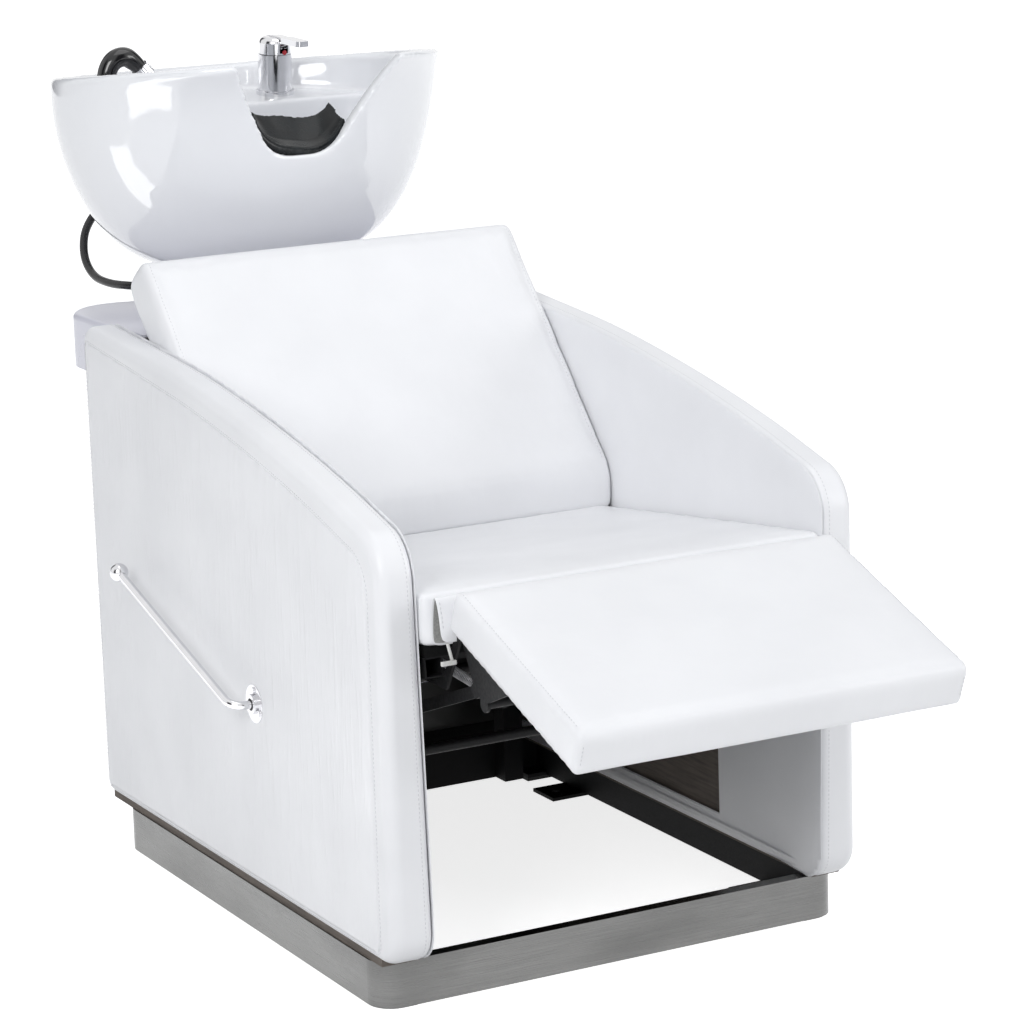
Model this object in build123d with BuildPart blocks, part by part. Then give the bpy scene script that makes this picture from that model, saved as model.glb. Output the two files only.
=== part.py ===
from build123d import *
import math
import os

# A backwash unit: origin on the floor under the middle of the plinth,
# +X to the right of a viewer in front, +Y to the basin, +Z up.
# All sizes are in millimetres and degrees.

# Driving sizes
plinth_width = 666.0
plinth_length = 800.0
plinth_height = 60.0
panel_inner_x = 287.0
panel_width = 48.0
seat_front_from_front = -50.0
seat_front_z = 530.0
seat_tilt = 6.8
basin_centre_from_rear = 230.0
basin_rim_z = 1055.0
basin_tilt = 5.5
overrun = 40.0
running_fit = 0.05
body_gap = 0.4

# Plinth trims and base frame
trim_sheet = 1.5
trim_lift = 1.0
trim_flange = 18.0
corner_reach = 39.0
corner_radius = 34.0
rail_width = 18.0
rail_wall = 2.0
pad_height = 5.0
pad_size = 50.0
corner_plate = 32.0
plate_thickness = 5.0
floor_tab_width = 50.0
floor_tab_length = 60.0
floor_tab_y = 270.0
floor_bolt_inset = 28.5
floor_bolt_radius = 5.5
frame_half_x = plinth_width / 2 - trim_sheet
frame_half_y = plinth_length / 2 - trim_sheet
frame_inner_x = frame_half_x - rail_width
frame_inner_y = frame_half_y - rail_width
frame_top_z = plinth_height - trim_sheet

# Side panels, as a profile of (y, z) corners with their radii
panel_rear_from_rear = 60.0
panel_front_from_front = -45.0
panel_rear_top_z = 733.0
panel_mid_from_front = 330.0
panel_mid_z = 692.0
panel_front_top_z = 592.0
panel_lift = 4.0
panel_rear_radius = 18.0
panel_mid_radius = 2900.0
panel_nose_radius = 60.0
panel_toe_radius = 40.0
panel_edge_radius = 13.0
cover_thickness = 4.0
cover_inner = 2.0
core_wall = 12.0
bare_front_from_front = 215.0
bare_rear_from_rear = 0.0
bare_bottom_z = 90.0
bare_top_z = 430.0
staple_width = 10.0
staple_wire = 0.8
staple_pitch = 24.0
staple_edge = 8.0
panel_bottom_z = plinth_height + panel_lift
panel_outer_x = panel_inner_x + panel_width
core_inner_x = panel_inner_x + cover_inner
core_outer_x = panel_outer_x - cover_thickness

# Seat
seat_half_width = 284.0
seat_tuck = 14.2
seat_thickness = 65.0
seat_crown = 7.0
seat_edge_radius = 16.0
seat_corner_radius = 22.0
seat_side_draw = 3.0
board_thickness = 15.0
board_set_back = 14.0
rail_section = 25.0
rail_tube_wall = 2.0
seat_rail_outer_x = 279.0
seat_rail_short = 45.0
cross_tube_shares = (0.24, 0.86)
spacer_length = 50.0
spacer_shares = (0.63, 0.86)

# Backrest, its profile in (y, z)
back_half_width = 282.0
back_foot_from_rear = -323.0
back_foot_rise = 3.5
back_bend_from_rear = -326.0
back_bend_rise = 50.5
back_top_from_rear = -41.0
back_top_rise = 368.5
back_crest_from_rear = 18.0
back_crest_rise = 324.5
back_heel_from_rear = -270.0
back_heel_rise = 17.5
back_crown = 10.0
back_side_radius = 24.0
back_corner_radius = 26.0
back_bend_radius = 60.0
back_heel_radius = 6.0
back_board_inset = 20.0
back_board_start = 25.0
back_board_length = 365.0
bracket_sheet = 4.0
bracket_reach = 60.0
bracket_depth = 36.0
bracket_start = 50.0
bracket_length = 190.0

# Leg rest, on its own plane while it is up
leg_top_from_front = -99.0
leg_top_rise = 12.0
leg_slope = 19.9
leg_half_width = 265.0
leg_length = 315.0
leg_thickness = 50.0
leg_crown = 5.0
leg_edge_radius = 14.0
leg_corner_radius = 20.0
leg_side_draw = 2.0
leg_board_thickness = 12.0
leg_board_inset = 8.0
leg_hinge_from_front = -85.0
leg_hinge_rise = -47.0

# Lever, torque shaft and drive links
shaft_from_front = 323.0
shaft_rise = -213.0
shaft_radius = 8.0
lever_rise = 16.5
lever_length = 373.0
lever_stand_off = 35.0
lever_rod_radius = 5.5
lever_bend_radius = 20.0
lever_ball_radius = 12.5
flange_radius = 25.0
flange_thickness = 4.0
flange_boss_radius = 13.0
flange_boss_length = 5.0
flange_screw_circle = 18.0
flange_screw_radius = 4.2
flange_screw_head = 2.0
flange_screw_thread = 2.0
bush_wall = 2.5
bush_flange = 2.0
bush_flange_radius = 15.0
collar_radius = 14.0
collar_length = 10.0
link_sheet = 4.0
link_gap = 0.5
link_half_width = 7.5
link_eye_radius = 10.0
link_end_radius = 13.0
crank_eye_radius = 11.0
link_pin_radius = 5.0
link_open_play = 3.6
side_plate_outer_x = 254.0
side_plate_eye = 9.5
side_plate_knee_from_front = -52.0
side_plate_top_rise = -98.0
side_plate_bottom_rise = -122.0
leg_eye_radius = 9.5
leg_foot_far = 150.0
leg_foot_width = 30.0
leg_tie_from_front = -140.0
leg_tie_rise = -121.0
leg_tie_radius = 6.0
crank_radius = 54.3
crank_angle = 231.7
link_length = 432.8
link_angle = 160.2
front_pin_from_front = -118.0
front_pin_rise = -109.0
stretcher_from_front = 200.0
stretcher_rise = -274.0
stretcher_radius = 7.0

# Return springs
spring_x = 222.0
spring_wire = 1.6
spring_radius = 5.45
spring_turns = 44
spring_lead = 2.0
spring_plug_radius = 8.5
spring_plug_length = 18.0
gap_samples = 8

# Flap between seat and leg rest
flap_thickness = 3.0
flap_half_width = 262.0
flap_rear_from_front = -61.5
flap_front_from_front = -81.0
flap_top_rise = -8.0
flap_bottom_rise = -62.0
flap_end_rise = -29.0
flap_radius = 6.0

# Column and cap behind the backrest
post_size = 30.0
post_wall = 2.5
post_x = 260.0
post_top_z = 690.0
arm_x = 70.0
arm_height = 40.0
arm_rear_from_rear = 240.0
basin_plate_length = 180.0
basin_plate_width = 200.0
gusset_length = 62.0
cap_top_z = 725.0
cap_skirt = 76.0
cap_wall = 4.0
cap_front_from_rear = -28.0
cap_front_half = 281.0
cap_step_from_rear = 64.0
cap_half_width = 291.0
cap_corner_from_rear = 185.0
cap_rear_from_rear = 256.0
cap_rear_half = 185.0
cap_edge_radius = 8.0
cap_floor_sheet = 3.0

# Rear panel and service door
rear_panel_from_rear = 40.0
rear_panel_thickness = 12.0
door_half_width = 170.0
door_bottom_z = 150.0
door_height = 360.0
door_gap = 1.5
knuckle_radius = 5.0
door_pin_radius = 2.5
leaf_sheet = 2.0
leaf_width = 22.0
leaf_offset = 5.0
knuckle_length = 14.0
hinge_height_shares = (0.15, 0.85)
knob_radius = 12.0
knob_length = 18.0
knob_neck_radius = 5.0

# Basin, as half ellipses at depths below the rim
basin_depths = (0.0, 131.0, 200.0, 250.0, 283.0)
basin_half_widths = (282.0, 268.0, 238.0, 196.0, 118.0)
basin_front_reaches = (306.0, 190.0, 148.0, 108.0, 75.0)
basin_rear_reaches = (213.0, 210.0, 190.0, 148.0, 80.0)
basin_front_slope_share = 0.3
basin_wall = 20.0
basin_floor = 22.0
basin_rim_radius = 8.5
basin_rim_steps = 3
deck_front_from_rear = 297.0
deck_from_rear = 350.0
deck_z = 993.0
deck_slope = 4.6
deck_thickness = 20.0
underside_z = 905.0
underside_half = 185.0
notch_top_half = 128.6
notch_top_z = 1084.0
notch_foot_half = 46.4
notch_foot_z = 941.0
notch_radius = 56.0
notch_rear_from_rear = 200.0
drain_radius = 25.0
drain_rim_radius = 32.0
drain_rim_depth = 3.0
drain_slot_circle = 15.0
drain_slot_radius = 4.0
waste_body_radius = 21.0
waste_radius = 19.0
waste_outlet = 50.0
waste_wall = 2.0
waste_flange_radius = 34.0
waste_length = 102.0

# Tilting bracket under the basin
tilt_from_rear = 203.0
tilt_z = 748.0
tilt_pin_radius = 6.0
tilt_ear_inner = 52.0
tilt_ear_sheet = 6.0
tilt_ear_radius = 14.0
tilt_plate_half = 68.0
tilt_plate_depth = 56.0
tilt_plate_thickness = 6.0
bracket_half = 82.0
waste_clearance = 12.0

# Neck rest
neck_front_from_rear = 39.0
neck_length = 56.0
neck_half = 72.0
neck_lip = 9.0
neck_rise = 34.0

# Mixer
mixer_x = 107.0
mixer_base_radius = 28.0
mixer_base_height = 6.0
mixer_radius = 25.0
mixer_body_height = 54.0
mixer_turret_radius = 23.5
mixer_turret_height = 25.0
mixer_dome_radius = 9.0
mixer_turn = 10.0
mixer_shank_radius = 14.0
mixer_shank_length = 46.0
mixer_nut_radius = 24.0
mixer_nut_height = 8.0
tail_radius = 5.0
tail_spacing = 12.0
tail_length = 60.0
handle_reach = 74.0
handle_width = 22.0
handle_thickness = 8.0
handle_hub_radius = 12.0
handle_pivot_height = 15.0
handle_pin_radius = 3.0
handle_pin_play = 0.15
handle_slot = 14.0
dot_radius = 3.5
dot_height = 1.0

# Hand shower and its holder
holder_x = -97.0
holder_from_rear = 345.0
holder_radius = 17.0
holder_height = 12.0
holder_bore = 11.0
holder_shank_radius = 14.0
holder_shank_length = 42.0
holder_nut_radius = 21.0
shower_collar_radius = 15.0
shower_collar_height = 24.0
shower_tail_length = 34.0
shower_grip_radius = 12.0
shower_arch = ((0.0, 24.0), (0.0, 56.0), (-28.0, 76.0), (-56.0, 56.0), (-60.0, 30.0))
shower_arch_radii = (22.0, 22.0, 22.0)
shower_head_radius = 21.0
shower_head_height = 20.0
shower_face_height = 2.0

# Hose under the basin, as a route of points chosen by hand
hose_radius = 6.0
hose_share = 0.45
hose_route = (
    (-97.0, 748.4, 950.7),
    (-97.0, 751.3, 914.8),
    (-116.0, 758.0, 878.0),
    (-156.0, 764.0, 850.0),
    (-202.0, 756.0, 818.0),
    (-222.0, 738.0, 778.0),
    (-220.0, 708.0, 750.0),
    (-212.0, 668.0, 744.0),
    (-190.0, 634.0, 745.0),
    (-164.0, 614.0, 748.0),
    (-136.0, 610.0, 748.0),
)
elbow_radius = 10.0
elbow_reach = 24.0
elbow_flange_radius = 16.0
elbow_flange_height = 4.0
elbow_tail = 24.0

# Places along the unit, from the two ends of the plinth
plinth_front_y = -plinth_length / 2
plinth_rear_y = plinth_length / 2
seat_front_y = plinth_front_y + seat_front_from_front
panel_front_y = plinth_front_y + panel_front_from_front
panel_mid_y = plinth_front_y + panel_mid_from_front
bare_front_y = plinth_front_y + bare_front_from_front
leg_top_y = plinth_front_y + leg_top_from_front
leg_hinge_y = plinth_front_y + leg_hinge_from_front
shaft_y = plinth_front_y + shaft_from_front
side_plate_knee_y = plinth_front_y + side_plate_knee_from_front
leg_tie_y = plinth_front_y + leg_tie_from_front
front_pin_y = plinth_front_y + front_pin_from_front
stretcher_y = plinth_front_y + stretcher_from_front
flap_rear_y = plinth_front_y + flap_rear_from_front
flap_front_y = plinth_front_y + flap_front_from_front
basin_centre_y = plinth_rear_y + basin_centre_from_rear
panel_rear_y = plinth_rear_y + panel_rear_from_rear
bare_rear_y = plinth_rear_y + bare_rear_from_rear
back_foot_y = plinth_rear_y + back_foot_from_rear
back_bend_y = plinth_rear_y + back_bend_from_rear
back_top_y = plinth_rear_y + back_top_from_rear
back_crest_y = plinth_rear_y + back_crest_from_rear
back_heel_y = plinth_rear_y + back_heel_from_rear
arm_rear_y = plinth_rear_y + arm_rear_from_rear
cap_front_y = plinth_rear_y + cap_front_from_rear
cap_step_y = plinth_rear_y + cap_step_from_rear
cap_corner_y = plinth_rear_y + cap_corner_from_rear
cap_rear_y = plinth_rear_y + cap_rear_from_rear
rear_panel_y = plinth_rear_y + rear_panel_from_rear
deck_front_y = plinth_rear_y + deck_front_from_rear
deck_y = plinth_rear_y + deck_from_rear
notch_rear_y = plinth_rear_y + notch_rear_from_rear
tilt_y = plinth_rear_y + tilt_from_rear
neck_front_y = plinth_rear_y + neck_front_from_rear
holder_y = plinth_rear_y + holder_from_rear

# The seat reaches from its front edge to just under the foot of the backrest
seat_length = (back_foot_y + seat_tuck - seat_front_y) / math.cos(math.radians(seat_tilt))
seat_rear_z = seat_front_z - seat_length * math.sin(math.radians(seat_tilt))
seat_rail_end = seat_length - seat_rail_short

# Heights, from the seat's front edge and its rear end
leg_top_z = seat_front_z + leg_top_rise
leg_hinge_z = seat_front_z + leg_hinge_rise
shaft_z = seat_front_z + shaft_rise
side_plate_top_z = seat_front_z + side_plate_top_rise
side_plate_bottom_z = seat_front_z + side_plate_bottom_rise
leg_tie_z = seat_front_z + leg_tie_rise
front_pin_z = seat_front_z + front_pin_rise
stretcher_z = seat_front_z + stretcher_rise
flap_top_z = seat_front_z + flap_top_rise
flap_bottom_z = seat_front_z + flap_bottom_rise
flap_end_z = seat_front_z + flap_end_rise
back_foot_z = seat_rear_z + back_foot_rise
back_bend_z = seat_rear_z + back_bend_rise
back_top_z = seat_rear_z + back_top_rise
back_crest_z = seat_rear_z + back_crest_rise
back_heel_z = seat_rear_z + back_heel_rise
elbow_tail_radius = 8.0

hose_end = Vector(*hose_route[-1])
elbow_way = (hose_end - Vector(*hose_route[-2])).normalized()
elbow_x = hose_end.X + elbow_reach * elbow_way.X
elbow_y = hose_end.Y + elbow_reach * elbow_way.Y
elbow_height = hose_end.Z - cap_top_z


# Planes and points that several pieces share
seat_plane = Plane(
    origin=(0, seat_front_y, seat_front_z),
    x_dir=(1, 0, 0),
    z_dir=(0, math.sin(math.radians(seat_tilt)), math.cos(math.radians(seat_tilt))),
)
leg_plane = Plane(
    origin=(0, leg_top_y, leg_top_z),
    x_dir=(1, 0, 0),
    z_dir=(0, -math.sin(math.radians(leg_slope)), math.cos(math.radians(leg_slope))),
)
basin_plane = Plane(
    origin=(0, basin_centre_y, basin_rim_z),
    x_dir=(1, 0, 0),
    z_dir=(0, math.sin(math.radians(basin_tilt)), math.cos(math.radians(basin_tilt))),
)
deck_normal = Vector(0, -math.sin(math.radians(deck_slope)), math.cos(math.radians(deck_slope)))
mixer_base_plane = Plane(origin=(mixer_x, deck_y, deck_z), x_dir=(1, 0, 0), z_dir=deck_normal)
mixer_plane = mixer_base_plane.rotated((0, 0, mixer_turn))
holder_plane = Plane(
    origin=(holder_x, holder_y, deck_z + (holder_y - deck_y) * math.tan(math.radians(deck_slope))),
    x_dir=(1, 0, 0),
    z_dir=deck_normal,
)


def side_at(x):
    """The plane across the unit at x, where sketches are drawn in (y, z)."""
    return Plane(origin=(x, 0, 0), x_dir=(0, 1, 0), z_dir=(1, 0, 0))


def across(plane):
    """The plane through a pad's own origin where sketches are drawn in (length, height)."""
    return Plane(origin=plane.origin, x_dir=plane.y_dir, z_dir=plane.x_dir)


def along(plane):
    """The plane through a pad's own origin where sketches are drawn in (width, height)."""
    return Plane(origin=plane.origin, x_dir=plane.x_dir, z_dir=-plane.y_dir)


def save(piece, name):
    piece.part.label = name
    export_step(piece.part, "parts/" + name + ".step")


def polar(y, z, radius, angle):
    """A point at a distance and an angle from (y, z)."""
    return (y + radius * math.cos(math.radians(angle)), z + radius * math.sin(math.radians(angle)))


def crowned_section(half_width, depth, crown, radius):
    """Cross-section of a pad: crowned top with rounded edges, flat below."""
    with BuildSketch(Plane.XY) as section:
        with BuildLine():
            right = Line((half_width, -depth), (half_width, -crown - radius))
            right_round = TangentArc(right @ 1, (half_width - radius, -crown), tangent=(0, 1))
            top = ThreePointArc(right_round @ 1, (0, 0), (-half_width + radius, -crown))
            left_round = TangentArc((-half_width, -crown - radius), top @ 1, tangent=(0, 1))
            Polyline(left_round @ 0, (-half_width, -depth), (half_width, -depth))
        make_face()
    return section.sketch


def drawn_in_plan(half_width, near, far, draw):
    """Outline of a pad whose sides pull in between its corners."""
    middle = (near + far) / 2
    with BuildSketch(Plane.XY) as plan:
        with BuildLine():
            Line((-half_width, near), (half_width, near))
            ThreePointArc((half_width, near), (half_width - draw, middle), (half_width, far))
            Line((half_width, far), (-half_width, far))
            ThreePointArc((-half_width, far), (-half_width + draw, middle), (-half_width, near))
        make_face()
    return plan.sketch


def crowned_pad(plane, half_width, near, far, thickness, crown, draw, corner, edge):
    """A pad below its plane: crowned across, sides drawn in, corners and upper edges rounded."""
    with BuildPart() as pad:
        with BuildSketch(plane.offset(-thickness)):
            add(drawn_in_plan(half_width, near, far, draw))
        extrude(amount=thickness)
        upright = pad.edges().filter_by(Axis(plane.origin, plane.z_dir))
        fillet(upright, radius=corner)
        with BuildSketch(along(plane).offset(-far - overrun)):
            with BuildLine():
                ThreePointArc((-half_width, -crown), (0, 0), (half_width, -crown))
                Polyline((half_width, -crown), (half_width, -thickness), (-half_width, -thickness),
                         (-half_width, -crown))
            make_face()
        extrude(amount=far - near + 2 * overrun, mode=Mode.INTERSECT)
        top = pad.faces().sort_by(Axis(plane.origin, plane.z_dir))[-1]
        fillet(top.edges(), radius=edge)
    return pad.part


os.makedirs("parts", exist_ok=True)


# Plinth: four foot pads, a ring frame, four fascias and four corner trims
with BuildPart() as foot_pads:
    with BuildSketch(Plane.XY):
        with GridLocations(2 * frame_half_x - pad_size, 2 * frame_half_y - pad_size, 2, 2):
            Rectangle(pad_size, pad_size)
        RectangleRounded(2 * frame_half_x, 2 * frame_half_y, corner_radius - trim_sheet,
                         mode=Mode.INTERSECT)
    extrude(amount=pad_height)
save(foot_pads, "foot_pads")

with BuildPart() as base_frame:
    with BuildSketch(Plane.XY.offset(pad_height)):
        RectangleRounded(2 * frame_half_x, 2 * frame_half_y, corner_radius - trim_sheet)
        Rectangle(2 * frame_inner_x, 2 * frame_inner_y, mode=Mode.SUBTRACT)
    extrude(amount=frame_top_z - pad_height)
    with BuildSketch(Plane.XY.offset(pad_height)):
        RectangleRounded(2 * (frame_half_x - rail_wall), 2 * (frame_half_y - rail_wall),
                         corner_radius - trim_sheet - rail_wall)
        Rectangle(2 * (frame_inner_x + rail_wall), 2 * (frame_inner_y + rail_wall), mode=Mode.SUBTRACT)
    extrude(amount=frame_top_z - pad_height - rail_wall, mode=Mode.SUBTRACT)
    with BuildSketch(Plane.XY.offset(pad_height)):
        with GridLocations(2 * frame_inner_x - corner_plate, 2 * frame_inner_y - corner_plate, 2, 2):
            Rectangle(corner_plate, corner_plate)
    extrude(amount=plate_thickness)
    tab_tuck = rail_width / 2
    with BuildSketch(Plane.XY):
        with GridLocations(2 * frame_inner_x - floor_tab_width + tab_tuck, 2 * floor_tab_y, 2, 2):
            Rectangle(floor_tab_width + tab_tuck, floor_tab_length)
        with GridLocations(2 * (frame_inner_x - floor_bolt_inset), 2 * floor_tab_y, 2, 2):
            Circle(floor_bolt_radius, mode=Mode.SUBTRACT)
    extrude(amount=pad_height)
save(base_frame, "base_frame")


def fascia(half_span, half_out, plane):
    """A folded sheet between two corner trims: upright face and top flange."""
    with BuildPart() as sheet:
        with BuildSketch(plane):
            with BuildLine():
                Polyline(
                    (half_out, trim_lift),
                    (half_out, plinth_height),
                    (half_out - trim_flange, plinth_height),
                    (half_out - trim_flange, plinth_height - trim_sheet),
                    (half_out - trim_sheet, plinth_height - trim_sheet),
                    (half_out - trim_sheet, trim_lift),
                    close=True,
                )
            make_face()
        extrude(amount=half_span, both=True)
    return sheet


half_x = plinth_width / 2
half_y = plinth_length / 2
fascia_span_x = half_x - corner_reach
fascia_span_y = half_y - corner_reach
save(fascia(fascia_span_x, half_y, Plane(origin=(0, 0, 0), x_dir=(0, -1, 0), z_dir=(-1, 0, 0))),
     "plinth_front")
save(fascia(fascia_span_x, half_y, Plane(origin=(0, 0, 0), x_dir=(0, 1, 0), z_dir=(1, 0, 0))),
     "plinth_rear")
with BuildPart() as plinth_sides:
    add(fascia(fascia_span_y, half_x, Plane(origin=(0, 0, 0), x_dir=(1, 0, 0), z_dir=(0, -1, 0))).part)
    mirror(about=Plane.YZ)
save(plinth_sides, "plinth_sides")

with BuildPart() as plinth_corners:
    with BuildSketch(Plane.XY.offset(trim_lift)):
        RectangleRounded(plinth_width, plinth_length, corner_radius)
        Rectangle(2 * fascia_span_x, plinth_length, mode=Mode.SUBTRACT)
        Rectangle(plinth_width, 2 * fascia_span_y, mode=Mode.SUBTRACT)
    extrude(amount=plinth_height - trim_lift)
    with BuildSketch(Plane.XY.offset(trim_lift)):
        RectangleRounded(plinth_width - 2 * trim_sheet, plinth_length - 2 * trim_sheet,
                         corner_radius - trim_sheet)
    extrude(amount=plinth_height - trim_lift - trim_sheet, mode=Mode.SUBTRACT)
save(plinth_corners, "plinth_corners")


# Side panels: a hollow plywood core in a padded leather cover
def panel_profile(inset):
    """Profile of a panel in (y, z), drawn in by an inset."""
    with BuildSketch(Plane.XY) as profile:
        with BuildLine():
            FilletPolyline(
                (panel_rear_y, panel_bottom_z),
                (panel_rear_y, panel_rear_top_z),
                (panel_mid_y, panel_mid_z),
                (panel_front_y, panel_front_top_z),
                (panel_front_y, panel_bottom_z),
                radius=(panel_rear_radius, panel_rear_radius, panel_mid_radius, panel_nose_radius,
                        panel_toe_radius),
                close=True,
            )
        make_face()
        offset(amount=-inset)
    return profile.sketch


def panel_foot(inset, height):
    """Straight foot of the core in (y, z), standing on the plinth."""
    front = panel_front_y + panel_toe_radius + inset
    rear = panel_rear_y - panel_rear_radius - inset
    with BuildSketch(Plane.XY) as foot:
        with BuildLine():
            Polyline((front, plinth_height), (rear, plinth_height), (rear, height), (front, height),
                     close=True)
        make_face()
    return foot.sketch


core_foot_top = panel_bottom_z + panel_toe_radius
with BuildPart() as core_block:
    with BuildSketch(side_at(core_inner_x)):
        add(panel_profile(cover_thickness))
    extrude(amount=core_outer_x - core_inner_x)
    fillet(core_block.faces().filter_by(Axis.X).edges(), radius=panel_edge_radius - cover_thickness)
    with BuildSketch(side_at(core_inner_x)):
        add(panel_foot(0, core_foot_top))
    extrude(amount=core_outer_x - core_inner_x)

bush_radius = shaft_radius + running_fit + bush_wall
with BuildPart() as right_panel_core:
    add(core_block.part)
    with BuildSketch(side_at(core_inner_x + core_wall)):
        add(panel_profile(cover_thickness + core_wall))
        add(panel_foot(core_wall, core_foot_top))
    extrude(amount=core_outer_x - core_inner_x - 2 * core_wall, mode=Mode.SUBTRACT)
    with BuildSketch(side_at(core_inner_x)):
        with Locations((shaft_y, shaft_z)):
            Circle(bush_radius)
    extrude(amount=core_wall, mode=Mode.SUBTRACT)
save(right_panel_core, "right_panel_core")

with BuildPart() as left_panel_core:
    add(mirror(right_panel_core.part, about=Plane.YZ, mode=Mode.PRIVATE))
    with BuildSketch(side_at(-core_outer_x)):
        with Locations((shaft_y, shaft_z)):
            Circle(bush_radius)
    extrude(amount=core_wall, mode=Mode.SUBTRACT)
save(left_panel_core, "left_panel_core")

with BuildPart() as right_panel_cover:
    with BuildSketch(side_at(panel_inner_x)):
        add(panel_profile(0))
    extrude(amount=panel_width)
    fillet(right_panel_cover.faces().filter_by(Axis.X).edges(), radius=panel_edge_radius)
    add(core_block.part, mode=Mode.SUBTRACT)
    with BuildSketch(side_at(panel_inner_x)):
        with BuildLine():
            Polyline((bare_front_y, bare_bottom_z), (bare_rear_y, bare_bottom_z),
                     (bare_rear_y, bare_top_z), (bare_front_y, bare_top_z), close=True)
        make_face()
    extrude(amount=cover_inner, mode=Mode.SUBTRACT)
save(right_panel_cover, "right_panel_cover")

with BuildPart() as left_panel_cover:
    add(mirror(right_panel_cover.part, about=Plane.YZ, mode=Mode.PRIVATE))
    with BuildSketch(side_at(-panel_outer_x)):
        with Locations((shaft_y, shaft_z)):
            Circle(bush_radius)
    extrude(amount=cover_thickness, mode=Mode.SUBTRACT)
save(left_panel_cover, "left_panel_cover")

staple_rows = int((bare_top_z - bare_bottom_z) / staple_pitch)
staple_columns = int((bare_rear_y - bare_front_y) / staple_pitch / 2)
with BuildPart() as panel_staples:
    for side in (-1, 1):
        face_x = side * (panel_inner_x - staple_wire / 2)
        for row in range(staple_rows):
            height = bare_bottom_z + staple_pitch * (row + 1) - staple_width
            with Locations((face_x, bare_front_y - staple_edge, height)):
                Box(staple_wire, staple_wire, staple_width)
        for column in range(-2, staple_columns):
            place = bare_front_y + staple_pitch * (column + 1)
            with Locations((face_x, place, bare_bottom_z - staple_edge)):
                Box(staple_wire, staple_width, staple_wire)
save(panel_staples, "panel_staples")


# Seat: steel frame, plywood board and crowned cushion on one tilted plane
board_bottom = seat_thickness + board_thickness
tube_middle = board_bottom + rail_section / 2
seat_rail_x = seat_rail_outer_x - rail_section / 2
front_tube_at = seat_length * cross_tube_shares[0]


def square_tube(section, wall):
    Rectangle(section, section)
    Rectangle(section - 2 * wall, section - 2 * wall, mode=Mode.SUBTRACT)


front_tube_centre = seat_plane.from_local_coords((0, front_tube_at, -tube_middle))
spring_start = Vector(spring_x, front_tube_centre.Y, front_tube_centre.Z)
spring_end = Vector(spring_x, leg_tie_y, leg_tie_z)
spring_axis = (spring_end - spring_start).normalized()

with BuildPart() as seat_frame:
    with BuildSketch(along(seat_plane).offset(-board_set_back)):
        with Locations((-seat_rail_x, -tube_middle), (seat_rail_x, -tube_middle)):
            square_tube(rail_section, rail_tube_wall)
    extrude(amount=board_set_back - seat_rail_end)
    cross_span = seat_rail_x - rail_section / 2
    with BuildSketch(across(seat_plane)):
        with Locations(*[(seat_length * share, -tube_middle) for share in cross_tube_shares]):
            square_tube(rail_section, rail_tube_wall)
    extrude(amount=cross_span, both=True)
    for side in (-1, 1):
        plug_base = Vector(side * spring_x, spring_start.Y, spring_start.Z) + spring_axis * rail_section / 4
        with BuildSketch(Plane(origin=plug_base, z_dir=spring_axis)):
            Circle(spring_plug_radius)
        extrude(amount=spring_plug_length - rail_section / 4)
save(seat_frame, "seat_frame")

with BuildPart() as seat_spacers:
    with BuildSketch(across(seat_plane).offset(seat_rail_outer_x)):
        with Locations(*[(seat_rail_end * share, -tube_middle) for share in spacer_shares]):
            Rectangle(spacer_length, rail_section)
    extrude(amount=core_inner_x - seat_rail_outer_x)
    mirror(about=Plane.YZ)
save(seat_spacers, "seat_spacers")

with BuildPart() as seat_board:
    with BuildSketch(seat_plane.offset(-board_bottom)):
        with Locations((0, (board_set_back + seat_length) / 2)):
            Rectangle(2 * seat_half_width - board_set_back, seat_length - board_set_back)
    extrude(amount=board_thickness)
save(seat_board, "seat_board")

with BuildPart() as seat_cushion:
    add(crowned_pad(seat_plane, seat_half_width, 0, seat_length, seat_thickness, seat_crown,
                    seat_side_draw, seat_corner_radius, seat_edge_radius))
save(seat_cushion, "seat_cushion")


# Backrest: cushion on a board, held between the panels by two brackets
back_rise = Vector(0, back_crest_y - back_heel_y, back_crest_z - back_heel_z).normalized()
back_out = Vector(0, back_rise.Z, -back_rise.Y)
back_plane = Plane(origin=(0, back_heel_y, back_heel_z), x_dir=(1, 0, 0), z_dir=back_out)
face_rise = Vector(0, back_top_y - back_bend_y, back_top_z - back_bend_z).normalized()
face_plane = Plane(
    origin=(0, back_bend_y, back_bend_z),
    x_dir=(1, 0, 0),
    z_dir=Vector(0, -face_rise.Z, face_rise.Y),
)
face_length = math.hypot(back_top_y - back_bend_y, back_top_z - back_bend_z)
back_depth = back_crest_z - back_heel_z

with BuildPart() as backrest_board:
    with BuildSketch(back_plane.offset(-board_thickness)):
        with Locations((0, -back_board_start - back_board_length / 2)):
            Rectangle(2 * (back_half_width - back_board_inset), back_board_length)
    extrude(amount=board_thickness)

with BuildPart() as backrest_cushion:
    with BuildSketch(Plane.YZ):
        with BuildLine():
            FilletPolyline(
                (back_foot_y, back_foot_z),
                (back_bend_y, back_bend_z),
                (back_top_y, back_top_z),
                (back_crest_y, back_crest_z),
                (back_heel_y, back_heel_z),
                radius=(back_heel_radius, back_bend_radius, back_corner_radius, back_corner_radius,
                        back_heel_radius),
                close=True,
            )
        make_face()
    extrude(amount=back_half_width, both=True)
    with BuildSketch(along(face_plane).offset(back_depth)):
        add(crowned_section(back_half_width, back_depth, back_crown, back_side_radius))
    extrude(amount=-2 * (back_depth + face_length), mode=Mode.INTERSECT)
    add(backrest_board.part, mode=Mode.SUBTRACT)
save(backrest_board, "backrest_board")
save(backrest_cushion, "backrest_cushion")

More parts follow.
